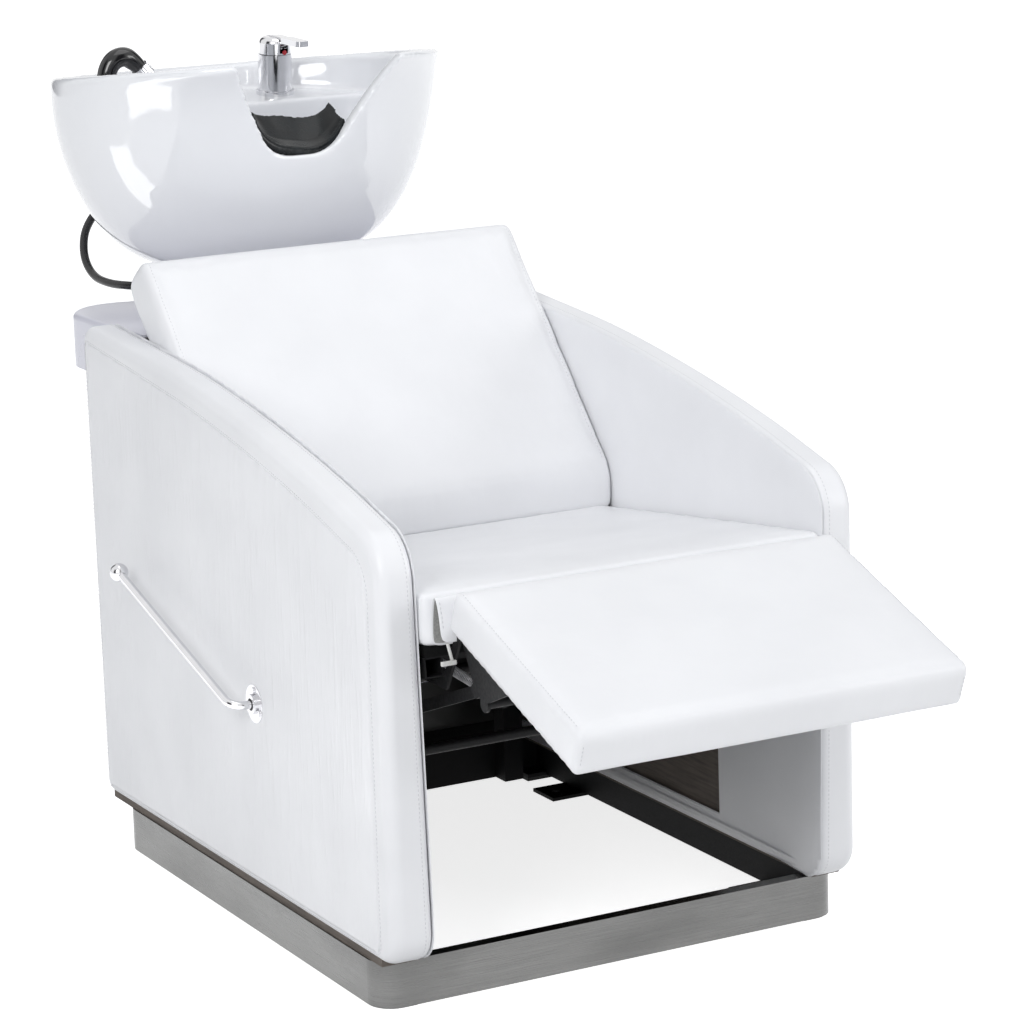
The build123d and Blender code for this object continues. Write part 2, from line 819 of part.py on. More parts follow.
with BuildPart() as backrest_brackets:
    with BuildSketch(along(back_plane).offset(bracket_start)):
        with BuildLine():
            Polyline(
                (panel_inner_x - bracket_reach, 0),
                (panel_inner_x, 0),
                (panel_inner_x, bracket_depth),
                (panel_inner_x - bracket_sheet, bracket_depth),
                (panel_inner_x - bracket_sheet, bracket_sheet),
                (panel_inner_x - bracket_reach, bracket_sheet),
                close=True,
            )
        make_face()
    extrude(amount=bracket_length)
    mirror(about=Plane.YZ)
save(backrest_brackets, "backrest_brackets")


# Leg rest: crowned pad on a board, hinged below its rear edge
leg_hinge = leg_plane.to_local_coords(Vector(0, leg_hinge_y, leg_hinge_z))
leg_pin = leg_plane.to_local_coords(Vector(0, front_pin_y, front_pin_z))
leg_tie = leg_plane.to_local_coords(Vector(0, leg_tie_y, leg_tie_z))

with BuildPart() as leg_rest_board:
    with BuildSketch(leg_plane.offset(-leg_thickness)):
        with Locations((0, -leg_length / 2)):
            Rectangle(2 * (leg_half_width - leg_board_inset), leg_length - 2 * leg_board_inset)
    extrude(amount=leg_board_thickness)
save(leg_rest_board, "leg_rest_board")

with BuildPart() as leg_rest_cushion:
    add(crowned_pad(leg_plane, leg_half_width, -leg_length, 0, leg_thickness, leg_crown,
                    leg_side_draw, leg_corner_radius, leg_edge_radius))
    add(leg_rest_board.part, mode=Mode.SUBTRACT)
save(leg_rest_cushion, "leg_rest_cushion")

# Plates of the mechanism stand side by side, from the side plate inwards
side_plate_x = side_plate_outer_x - link_sheet
leg_bracket_x = side_plate_x - link_gap - link_sheet
crank_x = leg_bracket_x - link_gap - link_sheet
link_x = crank_x - link_gap - link_sheet

side_plate_rear_y = front_tube_centre.Y - rail_section / math.sqrt(2) - body_gap

with BuildPart() as hinge_plates:
    with BuildSketch(side_at(side_plate_x)):
        with BuildLine():
            Polyline(
                (side_plate_rear_y, side_plate_top_z),
                (side_plate_knee_y, side_plate_top_z),
                (leg_hinge_y + side_plate_eye, leg_hinge_z - side_plate_eye),
                (leg_hinge_y + side_plate_eye, leg_hinge_z),
                (leg_hinge_y - side_plate_eye, leg_hinge_z),
                (side_plate_knee_y, side_plate_bottom_z),
                (side_plate_rear_y, side_plate_bottom_z),
                close=True,
            )
        make_face()
        with Locations((leg_hinge_y, leg_hinge_z)):
            Circle(side_plate_eye)
    extrude(amount=link_sheet)
    with BuildSketch(side_at(crank_x)):
        with Locations((leg_hinge_y, leg_hinge_z)):
            Circle(link_pin_radius)
    extrude(amount=side_plate_x - crank_x)
    mirror(about=Plane.YZ)
save(hinge_plates, "hinge_plates")

with BuildPart() as leg_rest_brackets:
    with BuildSketch(across(leg_plane).offset(leg_bracket_x)):
        with BuildLine():
            Polyline(
                (-leg_foot_far, -leg_thickness),
                (leg_hinge.Y - leg_eye_radius, -leg_thickness),
                (leg_hinge.Y, leg_hinge.Z),
                (leg_pin.Y, leg_pin.Z),
                (leg_tie.Y, leg_tie.Z),
                close=True,
            )
        make_face()
        with Locations((leg_hinge.Y, leg_hinge.Z), (leg_pin.Y, leg_pin.Z), (leg_tie.Y, leg_tie.Z)):
            Circle(leg_eye_radius)
        with Locations((leg_hinge.Y, leg_hinge.Z)):
            Circle(link_pin_radius + running_fit, mode=Mode.SUBTRACT)
    extrude(amount=link_sheet)
    with BuildSketch(leg_plane.offset(-leg_thickness)):
        foot_near = leg_hinge.Y - 2 * leg_eye_radius
        with Locations((leg_bracket_x + link_sheet - leg_foot_width / 2, (foot_near - leg_foot_far) / 2)):
            Rectangle(leg_foot_width, leg_foot_far + foot_near)
    extrude(amount=-link_sheet)
    with BuildSketch(side_at(link_x)):
        with Locations((front_pin_y, front_pin_z)):
            Circle(link_pin_radius)
    extrude(amount=leg_bracket_x - link_x)
    mirror(about=Plane.YZ)
save(leg_rest_brackets, "leg_rest_brackets")

with BuildPart() as leg_rest_tie:
    with BuildSketch(side_at(-leg_bracket_x)):
        with Locations((leg_tie_y, leg_tie_z)):
            Circle(leg_tie_radius)
    extrude(amount=2 * leg_bracket_x)
    for side in (-1, 1):
        with BuildSketch(Plane(origin=(side * spring_x, leg_tie_y, leg_tie_z), z_dir=-spring_axis)):
            Circle(spring_plug_radius)
        extrude(amount=spring_plug_length)
save(leg_rest_tie, "leg_rest_tie")


# Return springs: one wire each, wound between the plugs of frame and tie
def biarc(start, start_way, end, end_way):
    """Two arcs that join two points along their directions."""
    reach = end - start
    both = start_way + end_way
    share = 2 * (1 - start_way.dot(end_way))
    across_both = reach.dot(both)
    pull = (-across_both + math.sqrt(across_both ** 2 + share * reach.dot(reach))) / share
    joint = (start + end + (start_way - end_way) * pull) / 2
    first = TangentArc(start, joint, tangent=start_way)
    TangentArc(joint, end, tangent=first % 1)


def wound_spring(start, axis, free_length):
    """A coil spring whose two wire ends turn in to run along its axis."""
    frame = Plane(origin=start, x_dir=(1, 0, 0), z_dir=axis)
    end_run = 2 * spring_wire + spring_lead
    coil_length = free_length - 2 * end_run
    steps = 2 * spring_turns
    climb = coil_length / steps

    def point(step):
        angle = math.pi * step
        local = (spring_radius * math.cos(angle), spring_radius * math.sin(angle), end_run + climb * step)
        return frame.from_local_coords(local)

    slope = math.hypot(math.pi * spring_radius, climb)

    def way(step):
        side = math.cos(math.pi * step) * math.pi * spring_radius / slope
        return frame.y_dir * side + frame.z_dir * (climb / slope)

    with BuildLine() as path:
        first_bend = point(0) - (frame.y_dir + axis) * spring_lead
        lead_in = Line(first_bend - axis * 2 * spring_wire, first_bend)
        biarc(lead_in @ 1, axis, point(0), way(0))
        for step in range(steps):
            biarc(point(step), way(step), point(step + 1), way(step + 1))
        last_bend = point(steps) + (frame.y_dir + axis) * spring_lead
        biarc(point(steps), way(steps), last_bend, axis)
        Line(last_bend, last_bend + axis * 2 * spring_wire)
    with BuildPart() as coil:
        with BuildSketch(Plane(origin=lead_in @ 0, z_dir=axis)):
            Circle(spring_wire / 2)
        sweep(path=path.wire())
    one_turn = 2 * gap_samples
    samples = [point(step / gap_samples) for step in range(gap_samples * steps + 1)]
    gap = min((samples[i] - samples[j]).length for i in range(len(samples))
              for j in range(i + gap_samples, min(i + 2 * one_turn, len(samples)))) - spring_wire
    print("spring gap", round(gap, 2), "volume", round(coil.part.volume, 1),
          "wire", round(path.wire().length * math.pi * spring_wire ** 2 / 4, 1))
    return coil


spring_free = (spring_end - spring_start).length - 2 * spring_plug_length
right_start = spring_start + spring_axis * spring_plug_length
right_spring = wound_spring(right_start, spring_axis, spring_free)
with BuildPart() as return_springs:
    add(right_spring.part)
    add(mirror(right_spring.part, about=Plane.YZ, mode=Mode.PRIVATE))
save(return_springs, "return_springs")


# Flap: a folded leather strip in the gap between seat and leg rest
with BuildPart() as seat_flap:
    with BuildSketch(Plane.YZ):
        with BuildLine():
            fold = FilletPolyline(
                (flap_rear_y, flap_bottom_z),
                (flap_rear_y, flap_top_z),
                (flap_front_y, flap_top_z),
                (flap_front_y, flap_end_z),
                radius=flap_radius,
            )
            offset(amount=flap_thickness, side=Side.LEFT, mode=Mode.ADD)
        make_face()
    extrude(amount=flap_half_width, both=True)
save(seat_flap, "seat_flap")


# Lever side: bushes, flange, torque shaft with cranks, bent rod and ball
with BuildPart() as shaft_bushes:
    with BuildSketch(side_at(-panel_outer_x)):
        with Locations((shaft_y, shaft_z)):
            Circle(bush_radius)
    extrude(amount=panel_width)
    with BuildSketch(side_at(-panel_inner_x)):
        with Locations((shaft_y, shaft_z)):
            Circle(bush_flange_radius)
    extrude(amount=bush_flange)
    with BuildSketch(side_at(core_inner_x - bush_flange)):
        with Locations((shaft_y, shaft_z)):
            Circle(bush_flange_radius)
    extrude(amount=bush_flange)
    with BuildSketch(side_at(core_inner_x)):
        with Locations((shaft_y, shaft_z)):
            Circle(bush_radius)
    extrude(amount=core_wall)
    with BuildSketch(side_at(-panel_outer_x)):
        with Locations((shaft_y, shaft_z)):
            Circle(shaft_radius + running_fit)
    extrude(amount=2 * panel_outer_x, mode=Mode.SUBTRACT)
save(shaft_bushes, "shaft_bushes")

flange_face_x = -panel_outer_x - flange_thickness
boss_face_x = flange_face_x - flange_boss_length
with BuildPart() as lever_flange:
    with BuildSketch(side_at(flange_face_x)):
        with Locations((shaft_y, shaft_z)):
            Circle(flange_radius)
    extrude(amount=flange_thickness)
    with BuildSketch(side_at(boss_face_x)):
        with Locations((shaft_y, shaft_z)):
            Circle(flange_boss_radius)
    extrude(amount=flange_boss_length)
    with BuildSketch(side_at(boss_face_x)):
        with Locations((shaft_y, shaft_z)):
            Circle(shaft_radius + running_fit)
            with PolarLocations(flange_screw_circle, 3, start_angle=90):
                Circle(flange_screw_thread)
    extrude(amount=flange_thickness + flange_boss_length, mode=Mode.SUBTRACT)
save(lever_flange, "lever_flange")

with BuildPart() as flange_screws:
    with BuildSketch(side_at(flange_face_x)):
        with Locations((shaft_y, shaft_z)):
            with PolarLocations(flange_screw_circle, 3, start_angle=90):
                Circle(flange_screw_radius)
    extrude(amount=-flange_screw_head)
    with BuildSketch(side_at(flange_face_x)):
        with Locations((shaft_y, shaft_z)):
            with PolarLocations(flange_screw_circle, 3, start_angle=90):
                Circle(flange_screw_thread)
    extrude(amount=flange_thickness)
save(flange_screws, "flange_screws")

crank_y, crank_z = polar(shaft_y, shaft_z, crank_radius, crank_angle)
with BuildPart() as torque_shaft:
    with BuildSketch(side_at(boss_face_x)):
        with Locations((shaft_y, shaft_z)):
            Circle(shaft_radius)
    extrude(amount=core_inner_x + core_wall - bush_flange - boss_face_x)
    for place in (crank_x, -crank_x - link_sheet):
        with BuildSketch(side_at(place)):
            with Locations(((shaft_y + crank_y) / 2, (shaft_z + crank_z) / 2)):
                SlotCenterToCenter(crank_radius, 2 * crank_eye_radius, rotation=crank_angle)
        extrude(amount=link_sheet)
    for place in (link_x, -crank_x):
        with BuildSketch(side_at(place)):
            with Locations((crank_y, crank_z)):
                Circle(link_pin_radius)
        extrude(amount=crank_x - link_x)
save(torque_shaft, "torque_shaft")

with BuildPart() as shaft_collars:
    for place in (-panel_inner_x + bush_flange + body_gap,
                  core_inner_x - bush_flange - body_gap - collar_length):
        with BuildSketch(side_at(place)):
            with Locations((shaft_y, shaft_z)):
                Circle(collar_radius)
                Circle(shaft_radius, mode=Mode.SUBTRACT)
        extrude(amount=collar_length)
save(shaft_collars, "shaft_collars")

rod_x = -panel_outer_x - lever_stand_off
ball_y, ball_z = polar(shaft_y, shaft_z, lever_length, lever_rise)
with BuildPart() as lever_rod:
    with BuildLine() as rod_path:
        FilletPolyline(
            (boss_face_x, shaft_y, shaft_z),
            (rod_x, shaft_y, shaft_z),
            (rod_x, ball_y, ball_z),
            radius=lever_bend_radius,
        )
    with BuildSketch(side_at(boss_face_x)):
        with Locations((shaft_y, shaft_z)):
            Circle(lever_rod_radius)
    sweep(path=rod_path.wire())
    with Locations((rod_x, ball_y, ball_z)):
        Sphere(lever_ball_radius, mode=Mode.SUBTRACT)
save(lever_rod, "lever_rod")

with BuildPart() as lever_ball:
    with Locations((rod_x, ball_y, ball_z)):
        Sphere(lever_ball_radius)
save(lever_ball, "lever_ball")

link_front_y, link_front_z = polar(crank_y, crank_z, link_length, link_angle)
with BuildPart() as drive_links:
    with BuildSketch(side_at(link_x)):
        with Locations(((crank_y + link_front_y) / 2, (crank_z + link_front_z) / 2)):
            SlotCenterToCenter(link_length, 2 * link_half_width, rotation=link_angle)
        with Locations((crank_y, crank_z)):
            Circle(link_eye_radius)
            Circle(link_pin_radius + running_fit, mode=Mode.SUBTRACT)
        with Locations((link_front_y, link_front_z)):
            Circle(link_end_radius)
            Circle(link_pin_radius + link_open_play, mode=Mode.SUBTRACT)
    extrude(amount=link_sheet)
    mirror(about=Plane.YZ)
save(drive_links, "drive_links")

with BuildPart() as stretcher:
    with BuildSketch(side_at(-panel_inner_x)):
        with Locations((stretcher_y, stretcher_z)):
            Circle(stretcher_radius)
    extrude(amount=2 * panel_inner_x)
save(stretcher, "stretcher")


# Column: two posts, a beam, two arms and the plate under the cap
arm_top_z = cap_top_z - cap_wall - plate_thickness
post_rear_y = frame_inner_y
post_middle_y = post_rear_y - post_size / 2
basin_plate_y = arm_rear_y - basin_plate_length / 2
waste_hole_radius = waste_body_radius + waste_clearance
waste_hole_y = tilt_y - (tilt_z - cap_top_z) * math.tan(math.radians(basin_tilt))

with BuildPart() as column:
    with BuildSketch(Plane.XY.offset(pad_height)):
        with Locations((-post_x, post_middle_y), (post_x, post_middle_y)):
            square_tube(post_size, post_wall)
    extrude(amount=post_top_z - pad_height)
    with BuildSketch(Plane.YZ):
        with Locations((post_middle_y, post_top_z - post_size / 2)):
            square_tube(post_size, post_wall)
    extrude(amount=post_x - post_size / 2, both=True)
    with BuildSketch(Plane.XZ.offset(-post_rear_y)):
        with Locations((-arm_x, arm_top_z - arm_height / 2), (arm_x, arm_top_z - arm_height / 2)):
            Rectangle(post_size, arm_height)
            Rectangle(post_size - 2 * post_wall, arm_height - 2 * post_wall, mode=Mode.SUBTRACT)
    extrude(amount=post_rear_y - arm_rear_y)
    for place in (-arm_x - plate_thickness / 2, arm_x - plate_thickness / 2):
        with BuildSketch(side_at(place)):
            with BuildLine():
                Polyline(
                    (post_rear_y, arm_top_z - arm_height),
                    (post_rear_y + gusset_length, arm_top_z - arm_height),
                    (post_rear_y, post_top_z - post_size),
                    close=True,
                )
            make_face()
        extrude(amount=plate_thickness)
    with BuildSketch(Plane.XY.offset(arm_top_z)):
        with Locations((0, basin_plate_y)):
            Rectangle(basin_plate_width, basin_plate_length)
        with Locations((0, waste_hole_y)):
            Circle(waste_hole_radius, mode=Mode.SUBTRACT)
    extrude(amount=plate_thickness)
save(column, "column")


def cap_plan(inset):
    """Plan of the rear cap, drawn in by an inset on every side but the front."""
    with BuildSketch(Plane.XY) as plan:
        with BuildLine():
            left = Polyline(
                (-cap_front_half + inset, cap_front_y),
                (-cap_front_half + inset, cap_step_y + inset),
                (-cap_half_width + inset, cap_step_y + inset),
                (-cap_half_width + inset, cap_corner_y),
            )
            curve = TangentArc(left @ 1, (-cap_rear_half, cap_rear_y - inset), tangent=(0, 1))
            mirror(about=Plane.YZ)
            Line(curve @ 1, (cap_rear_half, cap_rear_y - inset))
            Line((-cap_front_half + inset, cap_front_y), (cap_front_half - inset, cap_front_y))
        make_face()
    return plan.sketch


cap_bottom_z = cap_top_z - cap_skirt
floor_hole_y = tilt_y - (tilt_z - cap_bottom_z) * math.tan(math.radians(basin_tilt))
with BuildPart() as rear_cap:
    with BuildSketch(Plane.XY.offset(cap_bottom_z)):
        add(cap_plan(0))
    extrude(amount=cap_skirt)
    top_edges = rear_cap.faces().sort_by(Axis.Z)[-1].edges().filter_by(
        lambda edge: edge.center().Y > cap_step_y + overrun)
    fillet(top_edges, radius=cap_edge_radius)
    with BuildSketch(Plane.XY.offset(cap_bottom_z)):
        add(cap_plan(cap_wall))
    extrude(amount=cap_skirt - cap_wall, mode=Mode.SUBTRACT)
    with BuildSketch(Plane.XY.offset(cap_bottom_z)):
        with Locations((0, waste_hole_y)):
            Circle(waste_hole_radius)
        with Locations((elbow_x, elbow_y)):
            Circle(elbow_tail_radius)
    extrude(amount=cap_skirt, mode=Mode.SUBTRACT)
save(rear_cap, "rear_cap")

with BuildPart() as cap_floor:
    with BuildSketch(Plane.XY.offset(cap_bottom_z)):
        add(cap_plan(cap_wall))
        with Locations((0, (cap_front_y + panel_rear_y) / 2)):
            Rectangle(2 * cap_half_width, panel_rear_y - cap_front_y + 2 * cap_wall, mode=Mode.SUBTRACT)
        with Locations((0, floor_hole_y)):
            Circle(waste_hole_radius, mode=Mode.SUBTRACT)
    extrude(amount=cap_floor_sheet)
save(cap_floor, "cap_floor")

with BuildPart() as hose_elbow:
    with BuildSketch(Plane.XY.offset(cap_top_z)):
        with Locations((elbow_x, elbow_y)):
            Circle(elbow_flange_radius)
    extrude(amount=elbow_flange_height)
    with BuildSketch(Plane.XY.offset(cap_top_z - elbow_tail)):
        with Locations((elbow_x, elbow_y)):
            Circle(elbow_tail_radius)
    extrude(amount=elbow_tail)
    with BuildSketch(Plane.XY.offset(cap_top_z)):
        with Locations((elbow_x, elbow_y)):
            Circle(elbow_radius)
    extrude(amount=elbow_height + elbow_radius)
    with BuildSketch(Plane(origin=hose_end, z_dir=elbow_way)):
        Circle(elbow_tail_radius)
    extrude(amount=elbow_reach)
save(hose_elbow, "hose_elbow")


# Rear panel with a hinged service door
rear_panel_back_y = rear_panel_y + rear_panel_thickness
rear_panel_top_z = cap_bottom_z - trim_lift
door_middle_z = door_bottom_z + door_height / 2
door_pin_x = -door_half_width - door_gap / 2
door_pin_y = rear_panel_back_y + knuckle_radius
with BuildPart() as rear_panel:
    with BuildSketch(Plane.XZ.offset(-rear_panel_y)):
        with Locations((0, (plinth_height + rear_panel_top_z) / 2)):
            Rectangle(2 * panel_inner_x, rear_panel_top_z - plinth_height)
        with Locations((0, door_middle_z)):
            Rectangle(2 * (door_half_width + door_gap), door_height + 2 * door_gap, mode=Mode.SUBTRACT)
    extrude(amount=-rear_panel_thickness)
save(rear_panel, "rear_panel")

with BuildPart() as service_door:
    with BuildSketch(Plane.XZ.offset(-rear_panel_y)):
        with Locations((0, door_middle_z)):
            Rectangle(2 * door_half_width, door_height)
    extrude(amount=-rear_panel_thickness)
save(service_door, "service_door")

hinge_heights = [door_bottom_z + door_height * share for share in hinge_height_shares]
with BuildPart() as door_hinge_frame:
    for height in hinge_heights:
        with BuildSketch(Plane.XZ.offset(-rear_panel_back_y)):
            with Locations((door_pin_x - leaf_offset - leaf_width / 2, height)):
                Rectangle(leaf_width, 3 * knuckle_length)
        extrude(amount=-leaf_sheet)
        for end in (-1, 1):
            low = height + end * knuckle_length - knuckle_length / 2
            with BuildSketch(Plane.XY.offset(low)):
                with Locations((door_pin_x, door_pin_y)):
                    Circle(knuckle_radius)
                with Locations((door_pin_x - leaf_offset / 2 - leaf_sheet / 2,
                                rear_panel_back_y + leaf_sheet / 2)):
                    Rectangle(leaf_offset + leaf_sheet, leaf_sheet)
            extrude(amount=knuckle_length)
        with BuildSketch(Plane.XY.offset(height - knuckle_length)):
            with Locations((door_pin_x, door_pin_y)):
                Circle(door_pin_radius)
        extrude(amount=2 * knuckle_length)
save(door_hinge_frame, "door_hinge_frame")

with BuildPart() as door_hinge_leaf:
    for height in hinge_heights:
        low = height - knuckle_length / 2 + body_gap
        with BuildSketch(Plane.XY.offset(low)):
            with Locations((door_pin_x, door_pin_y)):
                Circle(knuckle_radius)
            with Locations((door_pin_x + (leaf_offset + leaf_width) / 2,
                            rear_panel_back_y + leaf_sheet / 2)):
                Rectangle(leaf_offset + leaf_width, leaf_sheet)
            with Locations((door_pin_x, door_pin_y)):
                Circle(door_pin_radius + running_fit, mode=Mode.SUBTRACT)
        extrude(amount=knuckle_length - 2 * body_gap)
save(door_hinge_leaf, "door_hinge_leaf")

knob_x = door_half_width - 2 * knob_radius
with BuildPart() as door_knob:
    with BuildSketch(Plane.XZ.offset(-rear_panel_back_y)):
        with Locations((knob_x, door_middle_z)):
            Circle(knob_neck_radius)
    extrude(amount=-knob_length / 2)
    with BuildSketch(Plane.XZ.offset(-rear_panel_back_y - knob_length / 2)):
        with Locations((knob_x, door_middle_z)):
            Circle(knob_radius)
    extrude(amount=-knob_length / 2)
    fillet(door_knob.faces().sort_by(Axis.Y)[-1].edges(), radius=knob_length / 6)
save(door_knob, "door_knob")


# Basin: one casting with a bowl, a deck over an open underside and a notch
def half_ellipses(plane, half_width, front, rear):
    """An egg-shaped section: one half ellipse to the front, one to the rear."""
    with BuildSketch(plane) as section:
        with BuildLine():
            EllipticalCenterArc((0, 0), half_width, rear, start_angle=0, arc_size=90)
            EllipticalCenterArc((0, 0), half_width, rear, start_angle=90, arc_size=90)
            EllipticalCenterArc((0, 0), half_width, front, start_angle=180, arc_size=90)
            EllipticalCenterArc((0, 0), half_width, front, start_angle=270, arc_size=90)
        make_face()
    return section.sketch


def rim_section(depth, inset):
    """The basin's section near the rim, where the sides are still straight."""
    share = depth / basin_depths[1]
    half_width = basin_half_widths[0] + (basin_half_widths[1] - basin_half_widths[0]) * share
    front = basin_front_reaches[0] + (basin_front_reaches[1] - basin_front_reaches[0]) * share
    rear = basin_rear_reaches[0] + (basin_rear_reaches[1] - basin_rear_reaches[0]) * share
    flare = inset * (1 + basin_front_slope_share)
    return half_ellipses(basin_plane.offset(-depth), half_width - inset, front - flare, rear - inset)


def basin_form(inset, floor_inset):
    """The basin's form below its rim, drawn in by a wall and raised from its foot."""
    with BuildPart() as form:
        add(rim_section(basin_rim_radius, inset))
        for depth, half_width, front, rear in zip(basin_depths[1:], basin_half_widths[1:],
                                                  basin_front_reaches[1:], basin_rear_reaches[1:]):
            level = basin_plane.offset(floor_inset * depth / basin_depths[-1] - depth)
            add(half_ellipses(level, half_width - inset, front - inset, rear - inset))
        loft(clean=False)
    return form.part


def rim_form(inset, turn):
    """The rounded rim as a stack of rings; turn is 1 outside and -1 inside."""
    with BuildPart() as form:
        for step in range(basin_rim_steps + 1):
            angle = math.pi / 2 * step / basin_rim_steps
            depth = basin_rim_radius * (1 - math.sin(angle))
            add(rim_section(depth, inset + turn * basin_rim_radius * (1 - math.cos(angle))))
        loft(ruled=True, clean=False)
    return form.part


def deck_height(y):
    return deck_z + (y - deck_y) * math.tan(math.radians(deck_slope))


def deck_block(front_y, drop, low_z):
    """Everything behind a front and below the deck's face, across the basin."""
    rear_y = basin_centre_y + basin_rear_reaches[0] + overrun
    with BuildPart() as block:
        with BuildSketch(side_at(-basin_half_widths[0] - overrun)):
            with BuildLine():
                Polyline((front_y, low_z), (front_y, deck_height(front_y) - drop),
                         (rear_y, deck_height(rear_y) - drop), (rear_y, low_z), close=True)
            make_face()
        extrude(amount=2 * (basin_half_widths[0] + overrun))
    return block.part


def notch_plan(rise):
    """The neck notch in (x, z), raised by a height."""
    with BuildSketch(Plane.XY) as plan:
        with BuildLine():
            FilletPolyline(
                (-notch_top_half, notch_top_z + rise),
                (-notch_foot_half, notch_foot_z + rise),
                (notch_foot_half, notch_foot_z + rise),
                (notch_top_half, notch_top_z + rise),
                radius=notch_radius,
            )
            Line((-notch_top_half, notch_top_z + rise), (notch_top_half, notch_top_z + rise))
        make_face()
    return plan.sketch


basin_low_z = cap_top_z
inner_form = basin_form(basin_wall, basin_floor)
front_block = deck_block(deck_front_y, 0, basin_low_z)
under_block = deck_block(deck_front_y + deck_thickness, deck_thickness, basin_low_z)

with BuildPart() as bowl_space:
    add(inner_form)
    add(front_block, mode=Mode.SUBTRACT)
    add(rim_form(basin_wall, -1))

with BuildPart() as under_space:
    add(inner_form)
    add(under_block, mode=Mode.INTERSECT)

drain_floor = basin_depths[-1] - basin_floor
drain_plane = basin_plane.offset(-drain_floor)
with BuildPart() as basin:
    add(basin_form(0, 0))
    add(rim_form(0, 1))
    add(bowl_space.part, mode=Mode.SUBTRACT)
    add(under_space.part, mode=Mode.SUBTRACT)
    with BuildSketch(side_at(-underside_half)):
        with Locations((deck_front_y + deck_thickness, underside_z)):
            Rectangle(basin_rear_reaches[0], underside_z - basin_low_z, align=(Align.MIN, Align.MAX))
    extrude(amount=2 * underside_half, mode=Mode.SUBTRACT)
    with BuildSketch(Plane.XZ.offset(-notch_rear_y)):
        add(notch_plan(0))
    extrude(amount=notch_rear_y, mode=Mode.SUBTRACT)
    with BuildSketch(drain_plane):
        Circle(drain_rim_radius + body_gap)
    extrude(amount=-drain_rim_depth, mode=Mode.SUBTRACT)
    with BuildSketch(drain_plane):
        Circle(drain_radius)
    extrude(amount=-basin_floor - overrun, mode=Mode.SUBTRACT)
    with BuildSketch(mixer_base_plane):
        Circle(mixer_shank_radius + body_gap)
    extrude(amount=-deck_thickness - overrun / 2, mode=Mode.SUBTRACT)
    with BuildSketch(holder_plane):
        Circle(holder_shank_radius + body_gap)
    extrude(amount=-deck_thickness - overrun / 2, mode=Mode.SUBTRACT)
save(basin, "basin")

with BuildPart() as drain_grid:
    with BuildSketch(drain_plane.offset(-drain_rim_depth)):
        Circle(drain_rim_radius)
        with PolarLocations(drain_slot_circle, 6):
            Circle(drain_slot_radius, mode=Mode.SUBTRACT)
        Circle(drain_slot_radius, mode=Mode.SUBTRACT)
    extrude(amount=drain_rim_depth)
save(drain_grid, "drain_grid")

basin_bottom_plane = basin_plane.offset(-basin_depths[-1])
with BuildPart() as waste_tail:
    with BuildSketch(drain_plane.offset(-drain_rim_depth)):
        Circle(waste_body_radius)
    extrude(amount=drain_rim_depth - basin_floor - waste_length + waste_outlet)
    with BuildSketch(drain_plane.offset(-basin_floor - waste_length)):
        Circle(waste_radius)
    extrude(amount=waste_outlet)
    with BuildSketch(basin_bottom_plane):
        Circle(waste_flange_radius)
    extrude(amount=-tilt_plate_thickness)
    with BuildSketch(drain_plane.offset(-drain_rim_depth)):
        Circle(waste_radius - waste_wall)
    extrude(amount=-basin_floor - waste_length - overrun, mode=Mode.SUBTRACT)
save(waste_tail, "waste_tail")


# Tilting bracket: base with ears on the cap, plate with ears under the basin
ear_outer_x = tilt_ear_inner + body_gap
with BuildPart() as basin_bracket:
    with BuildSketch(Plane.XY.offset(cap_top_z)):
        with Locations((0, tilt_y)):
            Rectangle(2 * bracket_half, 2 * tilt_plate_depth)
        with Locations((0, waste_hole_y)):
            Circle(waste_hole_radius, mode=Mode.SUBTRACT)
    extrude(amount=plate_thickness)
    with BuildSketch(side_at(ear_outer_x)):
        with Locations((tilt_y, tilt_z)):
            Circle(tilt_ear_radius)
        with Locations((tilt_y, cap_top_z)):
            Rectangle(2 * tilt_ear_radius, tilt_z - cap_top_z, align=(Align.CENTER, Align.MIN))
    extrude(amount=tilt_ear_sheet)
    with BuildSketch(side_at(ear_outer_x - body_gap - tilt_ear_sheet)):
        with Locations((tilt_y, tilt_z)):
            Circle(tilt_pin_radius)
    extrude(amount=tilt_ear_sheet + body_gap)
    mirror(basin_bracket.part, about=Plane.YZ)
save(basin_bracket, "basin_bracket")

with BuildPart() as tilt_plate:
    with BuildSketch(basin_bottom_plane):
        Rectangle(2 * tilt_plate_half, 2 * tilt_plate_depth)
        Circle(waste_flange_radius + body_gap, mode=Mode.SUBTRACT)
    extrude(amount=-tilt_plate_thickness)
    ear_top = basin_bottom_plane.to_local_coords(Vector(0, tilt_y, tilt_z))
    for place in (tilt_ear_inner - tilt_ear_sheet, -tilt_ear_inner):
        with BuildSketch(Plane(origin=basin_bottom_plane.from_local_coords((place, ear_top.Y, 0)),
                               x_dir=basin_plane.y_dir, z_dir=(1, 0, 0))):
            with Locations((0, ear_top.Z)):
                Circle(tilt_ear_radius)
                Rectangle(2 * tilt_ear_radius, -ear_top.Z, align=(Align.CENTER, Align.MIN))
            with Locations((0, ear_top.Z)):
                Circle(tilt_pin_radius + running_fit, mode=Mode.SUBTRACT)
        extrude(amount=tilt_ear_sheet)
save(tilt_plate, "tilt_plate")


# Neck rest: a rubber saddle in the notch, thin in front and high inside
def neck_band(height):
    with BuildSketch(Plane.XY) as band:
        add(notch_plan(0))
        add(notch_plan(height), mode=Mode.SUBTRACT)
        with Locations((0, notch_foot_z)):
            Rectangle(2 * neck_half, notch_top_z - notch_foot_z, mode=Mode.INTERSECT,
                      align=(Align.CENTER, Align.MIN))
    return band.sketch


